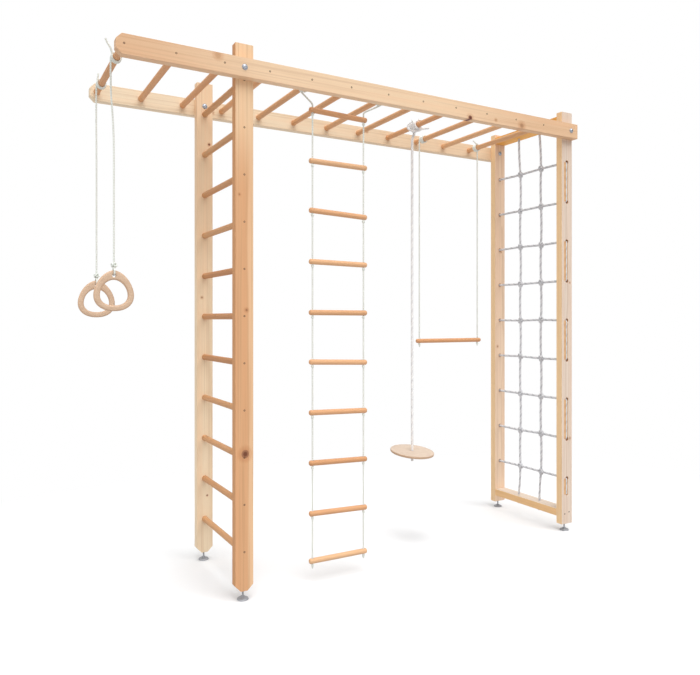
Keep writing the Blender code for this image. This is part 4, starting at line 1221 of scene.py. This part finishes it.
class CLIMBING_FRAME_OT_trapeze_ropes(bpy.types.Operator):
    """The trapeze's two ropes with a knot below the bar each, and their hitches on the monkey bars"""

    bl_idname = "climbing_frame.trapeze_ropes"
    bl_label = "Trapeze Ropes"

    def execute(self, context):
        kit = thin_kit()
        wrap, advance = kit.wrap, kit.advance
        for label, index, sense in (("left", TRAPEZE_BARS[0], 1), ("right", TRAPEZE_BARS[1], -1)):
            node = f"trapeze_rope_{label}"
            low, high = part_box(node)
            middle = (low + high) / 2
            bar = bar_axis(index)
            bar.y = middle.y
            first = bar - Vector((0, TRAPEZE_WRAP_TURNS * advance, 0))
            over = first + Vector((0, 0, wrap))
            across, rise = TRAPEZE_TAIL
            hitch = tail((sense * across, 0, rise), over, (-sense, 0, 0), wrap, advance)
            hitch += winding(first, wrap, math.pi / 2, TRAPEZE_WRAP_TURNS, sense, advance)
            hitch.append(hitch[-1] - Vector((0, 0, kit.diameter)))
            name = f"trapeze_hitch_{label}"
            kit.rope(f"trapeze_turns_{label}", hitch, "frame", [name], "object", "coiled")
            knot = kit.end_knot(f"trapeze_knot_{label}", middle.x, middle.y, low.z, "trapeze")
            route = [Vector((middle.x, middle.y, z)) for z in (high.z, low.z)]
            kit.rope(f"trapeze_cord_{label}", route, "trapeze", [node], "knot", "hanging", [knot])
        return {"FINISHED"}


def net_row_heights():
    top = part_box("net_post_front")[1].z - NET_TOP_ROW_BELOW_POST_TOP
    return [NET_LOWEST_ROW + i * (top - NET_LOWEST_ROW) / (NET_ROWS - 1) for i in range(NET_ROWS)]


def net_columns():
    """The places of the net's upright ropes between the posts' inner faces."""
    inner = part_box("net_post_rear")[0].y
    return [2 * inner * (i + 1) / (NET_COLUMNS + 1) - inner for i in range(NET_COLUMNS)]


class CLIMBING_FRAME_OT_net(bpy.types.Operator):
    """One rope to and fro through the net posts, and two upright ropes knotted to it at each row"""

    bl_idname = "climbing_frame.net"
    bl_label = "Climbing Net"

    def execute(self, context):
        rope = settings().rope
        kit = thick_kit("net_twist", rope.net, rope.lay, rope.net_colour, rope.net_tracer)
        x = box_middle("net_post_front").x
        rows = net_row_heights()
        knots = [self.knot_places(x, y, i, rows) for i, y in enumerate(net_columns())]
        route = self.to_and_fro(x, rows, knots, kit)
        kit.rope("net_rope", route, "frame", ["climbing_net"], "bare", "taut")
        bottom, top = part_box("net_bottom_rail"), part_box("net_top_rail")
        for i, y in enumerate(net_columns()):
            name = f"net_knots_{i + 1}"
            tied = kit.knots(name, knots[i], "frame", NET_KNOT_WIDTH, NET_KNOT_HEIGHT, seed=i + 2)
            stops = [Vector((x, y, bottom[0].z - kit.radius)), Vector((x, y, top[1].z + kit.radius))]
            name, height = f"net_stops_{i + 1}", STOP_KNOT_HEIGHT * kit.diameter
            stop = kit.knots(name, stops, "frame", NET_KNOT_WIDTH, height, seed=i + 5)
            below = [(x, y, bottom[0].z - kit.diameter), (x, y, bottom[1].z + kit.radius)]
            above = [(x, y, top[0].z - kit.radius), (x, y, top[1].z + kit.diameter)]
            marks = [Vector(p) for p in (*below, *knots[i], *above)]
            name = f"net_upright_{i + 1}"
            kit.rope(name, self.wavy(marks, i), "frame", [], "knot", "taut", [tied, stop])
        return {"FINISHED"}

    def knot_places(self, x, y, column, rows):
        """The knots of an upright rope, each a little off its row as the net was pulled tight."""
        places = []
        for i, z in enumerate(rows):
            shift = NET_SLACK * math.sin(1.9 * i + 2.3 * column)
            places.append(Vector((x, y - NET_LEAN, z + shift)))
        return places

    def to_and_fro(self, x, rows, knots, kit):
        """From the loose end at the lowest row of the front post to the loose end at the top row."""
        inner, outer = (corner.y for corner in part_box("net_post_rear"))
        groove = outer - kit.radius - FIT_GAP
        leaves_post = groove - outer + inner
        up = Vector((0, 0, 1))
        bend = kit.radius + FIT_GAP
        route = [Vector((x, -groove, rows[0] - NET_TAIL_LENGTH))]
        sign = -1
        for i, z in enumerate(rows):
            across = Vector((0, -sign, 0))
            start, end = Vector((x, sign * groove, z)), Vector((x, -sign * groove, z))
            route += quarter_bend(start, up, across, bend)
            tied = [column[i] for column in knots]
            near = Vector((x, sign * leaves_post, z))
            route += [near, *(tied if sign < 0 else tied[::-1]), Vector((x, -near.y, z))]
            route += quarter_bend(end, across, up, bend)
            sign = -sign
        route.append(route[-1] + up * (NET_TAIL_LENGTH - bend))
        return route

    def wavy(self, marks, turn):
        """An upright rope that gives a little to either side between its marks."""
        points = []
        for i, (low, high) in enumerate(zip(marks, marks[1:])):
            give = NET_GIVE * (high.z - low.z) * (1 if (i + turn) % 2 else -1)
            for k in range(NET_GIVE_STEPS):
                share = k / NET_GIVE_STEPS
                points.append(low.lerp(high, share) + Vector((0, give * math.sin(math.pi * share), 0)))
        return points + [marks[-1]]


# Timber


def timber_piece(name, mesh, along, pale, pith, **marks):
    """A piece of timber in place of its CAD node; marks are its knots, side tone and other marks."""
    seed = settings().stage.seed + sum(ord(c) for c in name) * 0.37
    spacing = settings().timber.ring_spacing
    finish = wood_finish(name + "_wood", along, tuple(pale), seed, pith, spacing, **marks)
    return piece(name + "_timber", mesh, "frame", finish, [name])


def socket_cutters(dowels, inner):
    """Cutters for the ends of dowels in a piece of timber whose inner face is at y = inner."""
    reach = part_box(dowels[0])[1].y - abs(inner) + FIT_GAP
    radius = half_size(dowels[0]).z + FIT_GAP
    cutters = []
    for dowel in dowels:
        place = box_middle(dowel)
        place.y = inner
        cutters.append(rod_mesh("socket", place, radius, 2 * reach, "Y"))
    return cutters


class CLIMBING_FRAME_OT_beams(bpy.types.Operator):
    """Two planed beams with cut corners at the ring end and a socket for each bar"""

    bl_idname = "climbing_frame.beams"
    bl_label = "Beams"

    def execute(self, context):
        timber = settings().timber
        bars = nodes_named("monkey_bar_")
        first = box_middle(bars[0]).x
        knots = {
            "front_beam": [
                (first + 0.370, 2.272, 0.012, 0.05),
                (first + 1.69, 2.211, 0.012, 1.0),
                (first + 1.86, 2.225, 0.006, 0.2),
                (first + 2.04, 2.221, 0.014, 0.30),
            ],
            "rear_beam": [(first + 0.55, 2.232, 0.007, 0.3), (first + 1.46, 2.262, 0.006, 0.3)],
        }
        deep = {
            "front_beam": [(first + 0.75, first - 0.05, 0.68), (first + 1.45, first + 2.25, 0.55)],
            "rear_beam": [(first + 0.4, first + 2.0, 0.40)],
        }
        tones = {"front_beam": timber.front_beam, "rear_beam": timber.rear_beam}
        for side, sign in SIDES.items():
            name = f"{side}_beam"
            low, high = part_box(name)
            c = timber.beam_cut
            outline = [
                (low.x, high.z - c),
                (low.x, low.z + c),
                (low.x + c, low.z),
                (high.x, low.z),
                (high.x, high.z),
                (low.x + c, high.z),
            ]
            mesh = board_mesh(name, outline, low.y, high.y, timber.edge_round)
            mesh = cut(mesh, [socket_cutters(bars, low.y if sign > 0 else high.y)])
            middle = (low + high) / 2
            pith = (middle.z - 0.075, middle.y + 0.02 * sign)
            timber_piece(name, mesh, "X", tones[name], pith, knots=knots[name], deep=deep[name])
        return {"FINISHED"}


def stud_hole(x, y, foot):
    """A cutter for the hole in a post's lower end, into which a foot's stud screws."""
    radius = settings().fitting.stud / 2 + FIT_GAP
    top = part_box(foot)[1].z + STUD_HOLE_SPARE
    post_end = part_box("ladder_post_front")[0].z
    return rod_mesh("stud_hole", (x, y, post_end), radius, 2 * (top - post_end), "Z", 20)


class CLIMBING_FRAME_OT_ladder_posts(bpy.types.Operator):
    """The ladder's two posts, cut at their lower corners, with a socket for each rung"""

    bl_idname = "climbing_frame.ladder_posts"
    bl_label = "Ladder Posts"

    def execute(self, context):
        timber = settings().timber
        rungs = nodes_named("ladder_rung_")
        x = box_middle(rungs[0]).x
        knots = {
            "front": [
                (0.62, x + 0.003, 0.017, 0.8),
                (1.232, x + 0.010, 0.006, 0.4),
                (1.72, x - 0.022, 0.004, 0.3),
            ],
            "rear": [
                (2.06, x + 0.022, 0.006, 0.9),
                (1.30, x - 0.015, 0.005, 0.4),
                (0.32, x + 0.012, 0.004, 0.9),
            ],
        }
        deep = {"front": [(2.14, 1.72, 0.95)], "rear": [(1.25, 1.70, 0.35)]}
        tones = {"front": timber.ladder_front, "rear": timber.ladder_rear}
        for side, sign in SIDES.items():
            name = f"ladder_post_{side}"
            low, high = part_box(name)
            c = timber.post_cut
            outline = [
                (low.x, low.z + c),
                (low.x + c, low.z),
                (high.x - c, low.z),
                (high.x, low.z + c),
                (high.x, high.z),
                (low.x, high.z),
            ]
            mesh = board_mesh(name, outline, low.y, high.y, timber.edge_round)
            middle = (low + high) / 2
            holes = socket_cutters(rungs, low.y if sign > 0 else high.y)
            holes.append(stud_hole(middle.x, middle.y, f"ladder_foot_{side}"))
            mesh = cut(mesh, [holes])
            pith = (middle.x - 0.055, middle.y + 0.03)
            marks = {"knots": knots[side], "deep": deep[side]}
            if side == "front":
                # The front post's left and right faces take a painted shade
                marks.update(side=tuple(timber.ladder_side_shade), sap=(x + 0.014, x + 0.024))
            timber_piece(name, mesh, "Z", tones[side], pith, **marks)
        return {"FINISHED"}


class CLIMBING_FRAME_OT_net_frame(bpy.types.Operator):
    """The net's posts, with holes and outer grooves for its rope, and its two rails"""

    bl_idname = "climbing_frame.net_frame"
    bl_label = "Net Frame"

    def execute(self, context):
        timber = settings().timber
        radius = settings().rope.net / 2 + FIT_GAP
        rows = net_row_heights()
        x = box_middle("net_post_front").x
        knots = {
            "front": [(1.40, x + 0.022, 0.005, 0.2), (0.52, x + 0.024, 0.006, 0.2)],
            "rear": [(1.02, x - 0.02, 0.006, 0.3), (1.62, x + 0.01, 0.005, 0.3)],
        }
        deep = {"front": [], "rear": [(0.9, 1.8, 0.22)]}
        tones = {"front": timber.net_front, "rear": timber.net_rear}
        for side, sign in SIDES.items():
            name = f"net_post_{side}"
            low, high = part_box(name)
            outline = [(low.x, low.z), (high.x, low.z), (high.x, high.z), (low.x, high.z)]
            mesh = board_mesh(name, outline, low.y, high.y, timber.edge_round)
            outer = high.y if sign > 0 else low.y
            depth = 2 * (radius + FIT_GAP)
            ends = sorted((outer - sign * depth, outer + sign * depth))
            spans = self.spans(sign, rows)
            grooves = [
                board_mesh("groove", slot_outline(x, a, b, radius + GROOVE_MARGIN), *ends, 0.0)
                for a, b in spans
            ]
            middle = (low + high) / 2
            hole = radius + HOLE_MARGIN
            holes = [
                rod_mesh("row_hole", (x, middle.y, z), hole, DRILL_LENGTH, "Y", DRILL_SIDES) for z in rows
            ]
            holes.append(stud_hole(x, middle.y, f"net_foot_{side}"))
            mesh = cut(mesh, [grooves, holes])
            pith = (middle.x + 0.02, middle.y + 0.08)
            marks = {
                "knots": knots[side],
                "side": tuple(timber.net_side),
                "deep": deep[side],
                # Painted shade in and round the rope holes
                "holes": (rows[0], rows[-1], rows[1] - rows[0], x, hole),
            }
            if side == "front":
                # A stripe of painted shade beside the rope where it lies in the front post's grooves
                stripe = x - radius - GROOVE_MARGIN - GROOVE_SHADE_HALF
                marks["rubbed"] = (stripe, GROOVE_SHADE_HALF, spans)
            timber_piece(name, mesh, "Z", tones[side], pith, **marks)
        self.rails(x, radius, timber)
        return {"FINISHED"}

    def spans(self, sign, rows):
        """The heights between which the net rope runs along the outer face of a post."""
        first = 1 if sign < 0 else 0
        spans = [(rows[i], rows[i + 1]) for i in range(first, len(rows) - 1, 2)]
        if sign < 0:
            spans.append((rows[0] - NET_TAIL_LENGTH, rows[0]))
        if (sign < 0) != (len(rows) % 2 == 1):
            spans.append((rows[-1], rows[-1] + NET_TAIL_LENGTH))
        return spans

    def rails(self, x, radius, timber):
        for name, tone, side in (
            ("net_top_rail", timber.top_rail, None),
            # The bottom rail: a painted whitish sheen on its upper and lower faces, golden wood on its
            # sides
            ("net_bottom_rail", timber.rail_top_sheen, tuple(timber.bottom_rail)),
        ):
            low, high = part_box(name)
            outline = [(low.x, low.y), (high.x, low.y), (high.x, high.y), (low.x, high.y)]
            mesh = board_mesh(name, outline, low.z, high.z, timber.edge_round, "Z")
            middle = (low + high) / 2
            hole = radius + RAIL_HOLE_MARGIN
            holes = [
                rod_mesh("rail_hole", (x, y, middle.z), hole, DRILL_LENGTH, "Z", DRILL_SIDES)
                for y in net_columns()
            ]
            pith = (middle.x - 0.05, middle.z - 0.04)
            rail = timber_piece(name, cut(mesh, [holes]), "Y", tone, pith, side=side)
            # The bottom rail throws no shadow, so that the floor beside it stays white
            rail.visible_shadow = name != "net_bottom_rail"


# Dowels


def dowel_mesh(name, radius, reach, end_round):
    """A dowel along its own Z, with rounded ends."""
    half = reach / 2
    r = end_round
    profile = [(0.0, -half)]
    profile += round_corner((radius - r, r - half), r, -90, 0)
    stops = 6
    profile += [(radius, r - half + (reach - 2 * r) * i / stops) for i in range(1, stops)]
    profile += round_corner((radius - r, half - r), r, 0, 90)
    profile.append((0.0, half))
    return keep_own_place(smooth(lathe_mesh(name, profile, 40)))


def dowel_finish(name, tone, seed):
    return wood_finish(name, "Z", tone, seed, DOWEL_PITH, DOWEL_RING_SPACING, own=True)


class CLIMBING_FRAME_OT_bars(bpy.types.Operator):
    """The monkey bars between the beams and the ladder's rungs between its posts"""

    bl_idname = "climbing_frame.bars"
    bl_label = "Bars and Rungs"

    def execute(self, context):
        dowel = settings().dowel
        for prefix, name, tone, seed in (
            ("monkey_bar_", "monkey_bars", dowel.bar, 304),
            ("ladder_rung_", "ladder_rungs", dowel.rung, 80),
        ):
            finish = dowel_finish(name + "_wood", tuple(tone), 2.0)
            nodes = nodes_named(prefix)
            half = half_size(nodes[0])
            part = dowel_mesh(name, half.z, 2 * half.y, dowel.end_round)
            places = [box_middle(n) for n in nodes]
            turns = [(math.pi / 2, BAR_TURN * i, 0.0) for i in range(len(nodes))]
            repeated(name, part, places, turns, finish, seed, "frame", nodes)
        return {"FINISHED"}


class CLIMBING_FRAME_OT_steps(bpy.types.Operator):
    """The rope ladder's steps and the trapeze's bar, drilled for their ropes"""

    bl_idname = "climbing_frame.steps"
    bl_label = "Steps and Trapeze Bar"

    def execute(self, context):
        dowel = settings().dowel
        finish = dowel_finish("step_wood", tuple(dowel.step), 6.0)
        rope = settings().rope.thin / 2
        steps = nodes_named("rope_ladder_step_")
        left, right = (box_middle(f"trapeze_rope_{label}").x for label in ("left", "right"))
        for name, nodes, spacing, margin, body, seed in (
            ("rope_ladder_steps", steps, STEP_HOLE_SPACING, STEP_HOLE_MARGIN, "rope_ladder", 189),
            ("trapeze_dowel", ["trapeze_bar"], right - left, TRAPEZE_HOLE_MARGIN, "trapeze", 14),
        ):
            half = half_size(nodes[0])
            part = dowel_mesh(name, half.y, 2 * half.x, dowel.step_round)
            part = self.drilled(part, spacing, rope + margin, half.y)
            places = [box_middle(n) for n in nodes]
            turns = [(0.0, math.pi / 2 + math.atan(step_fall(n)), 0.0) for n in nodes]
            repeated(name, part, places, turns, finish, seed, body, nodes)
        return {"FINISHED"}

    def drilled(self, mesh, spacing, hole, radius):
        cutters = [
            rod_mesh("rope_hole", (0.0, 0.0, end * spacing / 2), hole, 4 * radius, "X", 24)
            for end in (-1, 1)
        ]
        return cut(mesh, [cutters])


# Rings and seat


def egg_outline(width, top, widest, bottom, powers):
    """A closed outline about x = 0: pointed above its widest height and fuller below."""
    points = []
    for i in range(RING_OUTLINE_POINTS):
        angle = 2 * math.pi * i / RING_OUTLINE_POINTS
        across, upward = math.sin(angle), math.cos(angle)
        power = powers[0] if upward > 0 else powers[1]
        height = top - widest if upward > 0 else widest - bottom
        x = width / 2 * math.copysign(abs(across) ** (2 / power), across)
        z = widest + height * math.copysign(abs(upward) ** (2 / power), upward)
        points.append((x, z))
    return points


class CLIMBING_FRAME_OT_rings(bpy.types.Operator):
    """Two plywood rings with an egg-shaped opening and a rope hole"""

    bl_idname = "climbing_frame.rings"
    bl_label = "Rings"

    def execute(self, context):
        board = settings().board
        for side in SIDES:
            node = f"ring_{side}"
            low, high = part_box(node)
            middle = (low + high) / 2
            mesh = self.ring(node, high.x - low.x, high.y - low.y, board)
            mesh.transform(Matrix.Translation(ring_hole(side)))
            flat = (tuple(middle), (0.0, 1.0, 0.0), high.y - low.y)
            tones = (tuple(board.ring_face), tuple(board.ring_core))
            finish = ply_finish(f"{node}_ply", *tones, board.ply, flat, len(side))
            piece(f"{node}_board", mesh, node, finish, [node])
        return {"FINISHED"}

    def ring(self, name, width, thickness, board):
        """A ring about its rope hole: a band from an outer to an inner outline, rounded all along."""
        opening_top = -RING_OPENING_BELOW_HOLE
        opening_bottom = opening_top - RING_OPENING_HEIGHT
        bottom = opening_bottom - board.ring_foot
        widest = opening_bottom + RING_WIDEST * RING_OPENING_HEIGHT
        outer = egg_outline(width, RING_HOLE_BELOW_TOP, widest, bottom, RING_OUTER_POWERS)
        inner_width = width - 2 * board.ring_side
        inner = egg_outline(inner_width, opening_top, widest, opening_bottom, RING_INNER_POWERS)
        half = thickness / 2
        bm = bmesh.new()
        loops = []
        for (outer_x, outer_z), (inner_x, inner_z) in zip(outer, inner):
            span = math.hypot(inner_x - outer_x, inner_z - outer_z)
            loop = []
            for across, depth in self.section(span, half, board.ring_round):
                share = across / span
                x = outer_x + (inner_x - outer_x) * share
                z = outer_z + (inner_z - outer_z) * share
                loop.append(bm.verts.new((x, depth, z)))
            loops.append(loop)
        for first, second in zip(loops, loops[1:] + loops[:1]):
            for i in range(len(first)):
                j = (i + 1) % len(first)
                bm.faces.new((first[i], first[j], second[j], second[i]))
        band = bmesh_to_mesh(name, bm)
        return smooth(cut(band, [[self.hole(board.ring_hole / 2, half, board.hole_round)]]), 40.0)

    def section(self, span, half, radius):
        """A rounded rectangle, across a ring's band and through its thickness."""
        points = []
        near, far = radius, span - radius
        for across, depth, start in (
            (near, half - radius, 180),
            (far, half - radius, 90),
            (far, radius - half, 0),
            (near, radius - half, -90),
        ):
            points += round_corner((across, depth), radius, start, start - 90, 6)
        return points

    def hole(self, radius, half, flare):
        """A cutter along Y for the rope hole, which opens out at both faces."""
        past = half + RING_HOLE_PAST
        points = [(0.0, -past), (radius + flare, -past)]
        points += round_corner((radius + flare, flare - half), flare, 270, 180)
        points += round_corner((radius + flare, half - flare), flare, 180, 90)
        points += [(radius + flare, past), (0.0, past)]
        cutter = lathe_mesh("rope_hole", points, 40)
        cutter.transform(Matrix.Rotation(math.pi / 2, 4, "X"))
        return cutter


class CLIMBING_FRAME_OT_seat(bpy.types.Operator):
    """The round plywood seat"""

    bl_idname = "climbing_frame.seat"
    bl_label = "Disc Seat"

    def execute(self, context):
        board = settings().board
        middle = box_middle("swing_disc")
        radius, half, r = SEAT_WIDTH / 2, SEAT_THICKNESS / 2, board.seat_round
        hole = settings().rope.thick / 2 + SEAT_HOLE_CLEARANCE
        rim = SEAT_HOLE_RIM
        profile = round_corner((hole + rim, half - rim), rim, 180, 90)
        profile += [(radius * share, half) for share in (0.3, 0.6)]
        profile += round_corner((radius - r, half - r), r, 90, 0)
        profile += round_corner((radius - r, r - half), r, 0, -90)
        profile += [(radius * share, -half) for share in (0.6, 0.3)]
        profile += round_corner((hole + rim, rim - half), rim, -90, -180)
        mesh = smooth(lathe_mesh("seat", profile, 96, closed=True))
        tilt = Euler((SEAT_TILT, 0.0, SEAT_TURN)).to_matrix().to_4x4()
        mesh.transform(Matrix.Translation(middle) @ tilt)
        flat = (tuple(middle), tuple(tilt.to_3x3() @ Vector((0, 0, 1))), SEAT_THICKNESS)
        tones = (tuple(board.seat_face), tuple(board.seat_core))
        finish = ply_finish("seat_ply", *tones, board.ply, flat, 1.7)
        piece("seat_board", mesh, "swing_disc", finish, ["swing_disc"])
        return {"FINISHED"}


# Feet and fasteners


class CLIMBING_FRAME_OT_feet(bpy.types.Operator):
    """Four levelling feet: a threaded stud and a domed round pad"""

    bl_idname = "climbing_frame.feet"
    bl_label = "Feet"

    def execute(self, context):
        fitting = settings().fitting
        finish = steel_finish("foot_zinc", tuple(fitting.foot), 0.36, 3.0, 0.35)
        for post in ("ladder", "net"):
            for side in SIDES:
                node = f"{post}_foot_{side}"
                low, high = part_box(node)
                mesh = smooth(lathe_mesh(node, self.profile(fitting, low.z, high.z), 40), 28.0)
                place = box_middle(node)
                place.z = 0.0
                mesh.transform(Matrix.Translation(place))
                piece(f"{node}_fitting", mesh, node, finish, [node])
        return {"FINISHED"}

    def profile(self, fitting, low, high):
        pad, stud = fitting.pad / 2, fitting.stud / 2
        crest, root = stud * THREAD_CREST, stud * THREAD_ROOT
        points = [(0.0, low), (pad - PAD_UNDERCUT, low)]
        points += round_corner((pad - PAD_RIM, low + PAD_RIM), PAD_RIM, -90, 60, 6)
        points.append((pad - PAD_EDGE[0], low + PAD_EDGE[1]))
        points += [(pad * share, low + height) for share, height in PAD_DOME]
        points += [(radius, low + height) for radius, height in FOOT_NUT]
        points.append((stud * 0.98, low + STUD_START))
        for i in range(int((high - low - THREAD_ENDS) / fitting.thread)):
            z = low + THREAD_START + i * fitting.thread
            points += [(crest, z), (root, z + fitting.thread / 2)]
        return points + [(root, high - 0.0005), (stud * 0.7, high), (0.0, high)]


class CLIMBING_FRAME_OT_fasteners(bpy.types.Operator):
    """Cross bolts where the beams meet the posts, and the screws that hold bars, rungs and rails"""

    bl_idname = "climbing_frame.fasteners"
    bl_label = "Bolts and Screws"

    def execute(self, context):
        fitting = settings().fitting
        z = box_middle("front_beam").z
        frontward, rearward = (math.pi / 2, 0.0, 0.0), (-math.pi / 2, 0.0, 0.0)
        zinc = steel_finish("bolt_zinc", tuple(fitting.bolt), 0.20, 9.0)
        places, turns = zip(*self.bolt_places(z, frontward, rearward))
        repeated("cross_bolts", self.bolt(fitting), places, turns, zinc, 21, "frame")
        dark = steel_finish("screw_steel", tuple(fitting.screw), 0.50, 5.0)
        places, turns = zip(*self.screw_places(z, frontward, rearward))
        repeated("wood_screws", self.screw(fitting), places, turns, dark, 22, "frame")
        return {"FINISHED"}

    def bolt_places(self, z, frontward, rearward):
        found = []
        for post, shift in BOLT_SHIFT.items():
            front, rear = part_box(f"{post}_front"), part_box(f"{post}_rear")
            x = (front[0].x + front[1].x) / 2
            found += [
                ((x + shift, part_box("front_beam")[0].y, z), frontward),
                ((x + shift, front[1].y, z), rearward),
                ((x, rear[0].y, z), frontward),
                ((x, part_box("rear_beam")[1].y, z), rearward),
            ]
        return found

    def screw_places(self, z, frontward, rearward):
        found = []
        for y, turn in ((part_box("front_beam")[0].y, frontward), (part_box("rear_beam")[1].y, rearward)):
            found += [((box_middle(n).x, y, z + BAR_SCREW_RISE), turn) for n in nodes_named("monkey_bar_")]
        front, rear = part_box("ladder_post_front")[0].y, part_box("ladder_post_rear")[1].y
        faces = ((front, frontward), (rear, rearward))
        for y, turn in faces:
            middles = [box_middle(n) for n in nodes_named("ladder_rung_")]
            found += [((middle.x, y, middle.z), turn) for middle in middles]
        rail = box_middle("net_bottom_rail")
        for y, turn in faces:
            for hand in (-1, 1):
                place = (rail.x + hand * RAIL_SCREW_ASIDE, y, rail.z + hand * RAIL_SCREW_RISE)
                found.append((place, turn))
        return found

    def bolt(self, fitting):
        """A domed head on a washer, which stands up along Z."""
        head, washer = fitting.bolt_head / 2, fitting.washer / 2
        points = [(0.0, -WASHER_SUNK), (washer, -WASHER_SUNK), (washer, WASHER_EDGE)]
        points += [(washer - WASHER_CHAMFER, WASHER_TOP), (head, WASHER_TOP)]
        for degrees in BOLT_DOME_DEGREES:
            a = math.radians(degrees)
            points.append((head * math.cos(a), WASHER_TOP + BOLT_DOME * math.sin(a)))
        points += [(head * share, height) for share, height in BOLT_DRIVE]
        return smooth(lathe_mesh("bolt", points, 32), 30.0)

    def screw(self, fitting):
        """A flat countersunk head with a sunk drive, just proud of the wood."""
        head = fitting.screw_head / 2
        points = [(head * share, height) for share, height in SCREW_PROFILE]
        return smooth(lathe_mesh("screw", points, 16), 30.0)


# Stage


class CLIMBING_FRAME_OT_stage(bpy.types.Operator):
    """A white studio: floor, lamps, surroundings and the camera"""

    bl_idname = "climbing_frame.stage"
    bl_label = "Studio"

    def execute(self, context):
        stage = settings().stage
        scene = context.scene
        scene.view_settings.view_transform = "Standard"
        camera = bpy.data.cameras.new("camera")
        camera.lens = stage.focal
        camera.sensor_width = SENSOR_WIDTH
        camera.shift_y = stage.rise
        camera.clip_end = VIEW_END
        view = bpy.data.objects.new("camera", camera)
        view.location = stage.eye
        view.rotation_euler = (math.pi / 2, 0.0, -stage.heading)
        scene.collection.objects.link(view)
        scene.camera = view
        self.floor(stage)
        self.surroundings(scene)
        for name, (direction, width, strength) in LAMPS.items():
            lamp = bpy.data.lights.new(name, "SUN")
            lamp.angle = math.radians(width)
            lamp.energy = strength
            obj = bpy.data.objects.new(name, lamp)
            obj.rotation_euler = Vector(direction).to_track_quat("Z", "Y").to_euler()
            scene.collection.objects.link(obj)
        return {"FINISHED"}

    def floor(self, stage):
        """A pale floor that keeps the shadows near the object and is white further off."""
        bm = bmesh.new()
        bmesh.ops.create_grid(bm, x_segments=8, y_segments=8, size=FLOOR_HALF)
        mesh = bpy.data.meshes.new("floor")
        bm.to_mesh(mesh)
        bm.free()
        obj = bpy.data.objects.new("floor", mesh)
        obj.location = (0.0, 0.0, -FLOOR_BELOW)
        bpy.context.scene.collection.objects.link(obj)
        material, nodes, shader = new_finish("floor_paint", Roughness=0.9)
        place = nodes.place()
        x, y, _ = nodes.split(place)
        far = nodes.ease((x * x / FLOOR_STRETCH + y * y).root(), *FLOOR_FADE)
        fine = nodes.noise(place, 220.0, 2.0)
        seen = nodes.seen()
        paint = nodes.mix(seen, stage.floor, stage.floor_seen)
        rubbed = nodes.mix(seen, shade(stage.floor, 0.03), shade(stage.floor_seen, 0.03))
        tone = nodes.mix(fine * 0.1, paint, rubbed)
        nodes.feed(shader, {"Base Color": tone, "Specular IOR Level": 0.0})
        strength = FLOOR_LIGHT + seen * (1 - FLOOR_LIGHT)
        plain = nodes.node("ShaderNodeEmission", None, {"Strength": strength, "Color": WHITE})
        joined = nodes.node(
            "ShaderNodeMixShader", None, {0: far, 1: Wire(nodes, shader.outputs[0]), 2: plain}
        )
        nodes.feed(material.node_tree.nodes["Material Output"], {"Surface": joined})
        mesh.materials.append(material)

    def surroundings(self, scene):
        world = bpy.data.worlds.new("studio")
        scene.world = world
        world.use_nodes = True
        tree = world.node_tree
        nodes = Nodes(tree)
        strength = WORLD_LIGHT + nodes.seen() * (1 - WORLD_LIGHT)
        nodes.feed(tree.nodes["Background"], {"Color": WHITE, "Strength": strength})


class CLIMBING_FRAME_PT_sidebar(bpy.types.Panel):
    """Lists the climbing frame's pieces"""

    bl_label = "Climbing Frame"
    bl_space_type = "VIEW_3D"
    bl_region_type = "UI"
    bl_category = "Climbing Frame"

    def draw(self, context):
        for operator in OPERATORS:
            self.layout.operator(operator.bl_idname)


GROUPS = (
    TimberSettings,
    DowelSettings,
    RopeSettings,
    BoardSettings,
    FittingSettings,
    StageSettings,
    ClimbingFrameSettings,
)
OPERATORS = (
    CLIMBING_FRAME_OT_stage,
    CLIMBING_FRAME_OT_ring_ropes,
    CLIMBING_FRAME_OT_rope_ladder_ropes,
    CLIMBING_FRAME_OT_seat_rope,
    CLIMBING_FRAME_OT_trapeze_ropes,
    CLIMBING_FRAME_OT_net,
    CLIMBING_FRAME_OT_beams,
    CLIMBING_FRAME_OT_ladder_posts,
    CLIMBING_FRAME_OT_net_frame,
    CLIMBING_FRAME_OT_bars,
    CLIMBING_FRAME_OT_steps,
    CLIMBING_FRAME_OT_rings,
    CLIMBING_FRAME_OT_seat,
    CLIMBING_FRAME_OT_feet,
    CLIMBING_FRAME_OT_fasteners,
)


def register():
    for item in (*GROUPS, *OPERATORS, CLIMBING_FRAME_PT_sidebar):
        bpy.utils.register_class(item)
    bpy.types.Scene.climbing_frame = PointerProperty(type=ClimbingFrameSettings)


def unregister():
    del bpy.types.Scene.climbing_frame
    for item in reversed((*GROUPS, *OPERATORS, CLIMBING_FRAME_PT_sidebar)):
        bpy.utils.unregister_class(item)


def main():
    register()
    for operator in OPERATORS:
        group, name = operator.bl_idname.split(".")
        getattr(getattr(bpy.ops, group), name)()


if __name__ == "__main__":
    main()
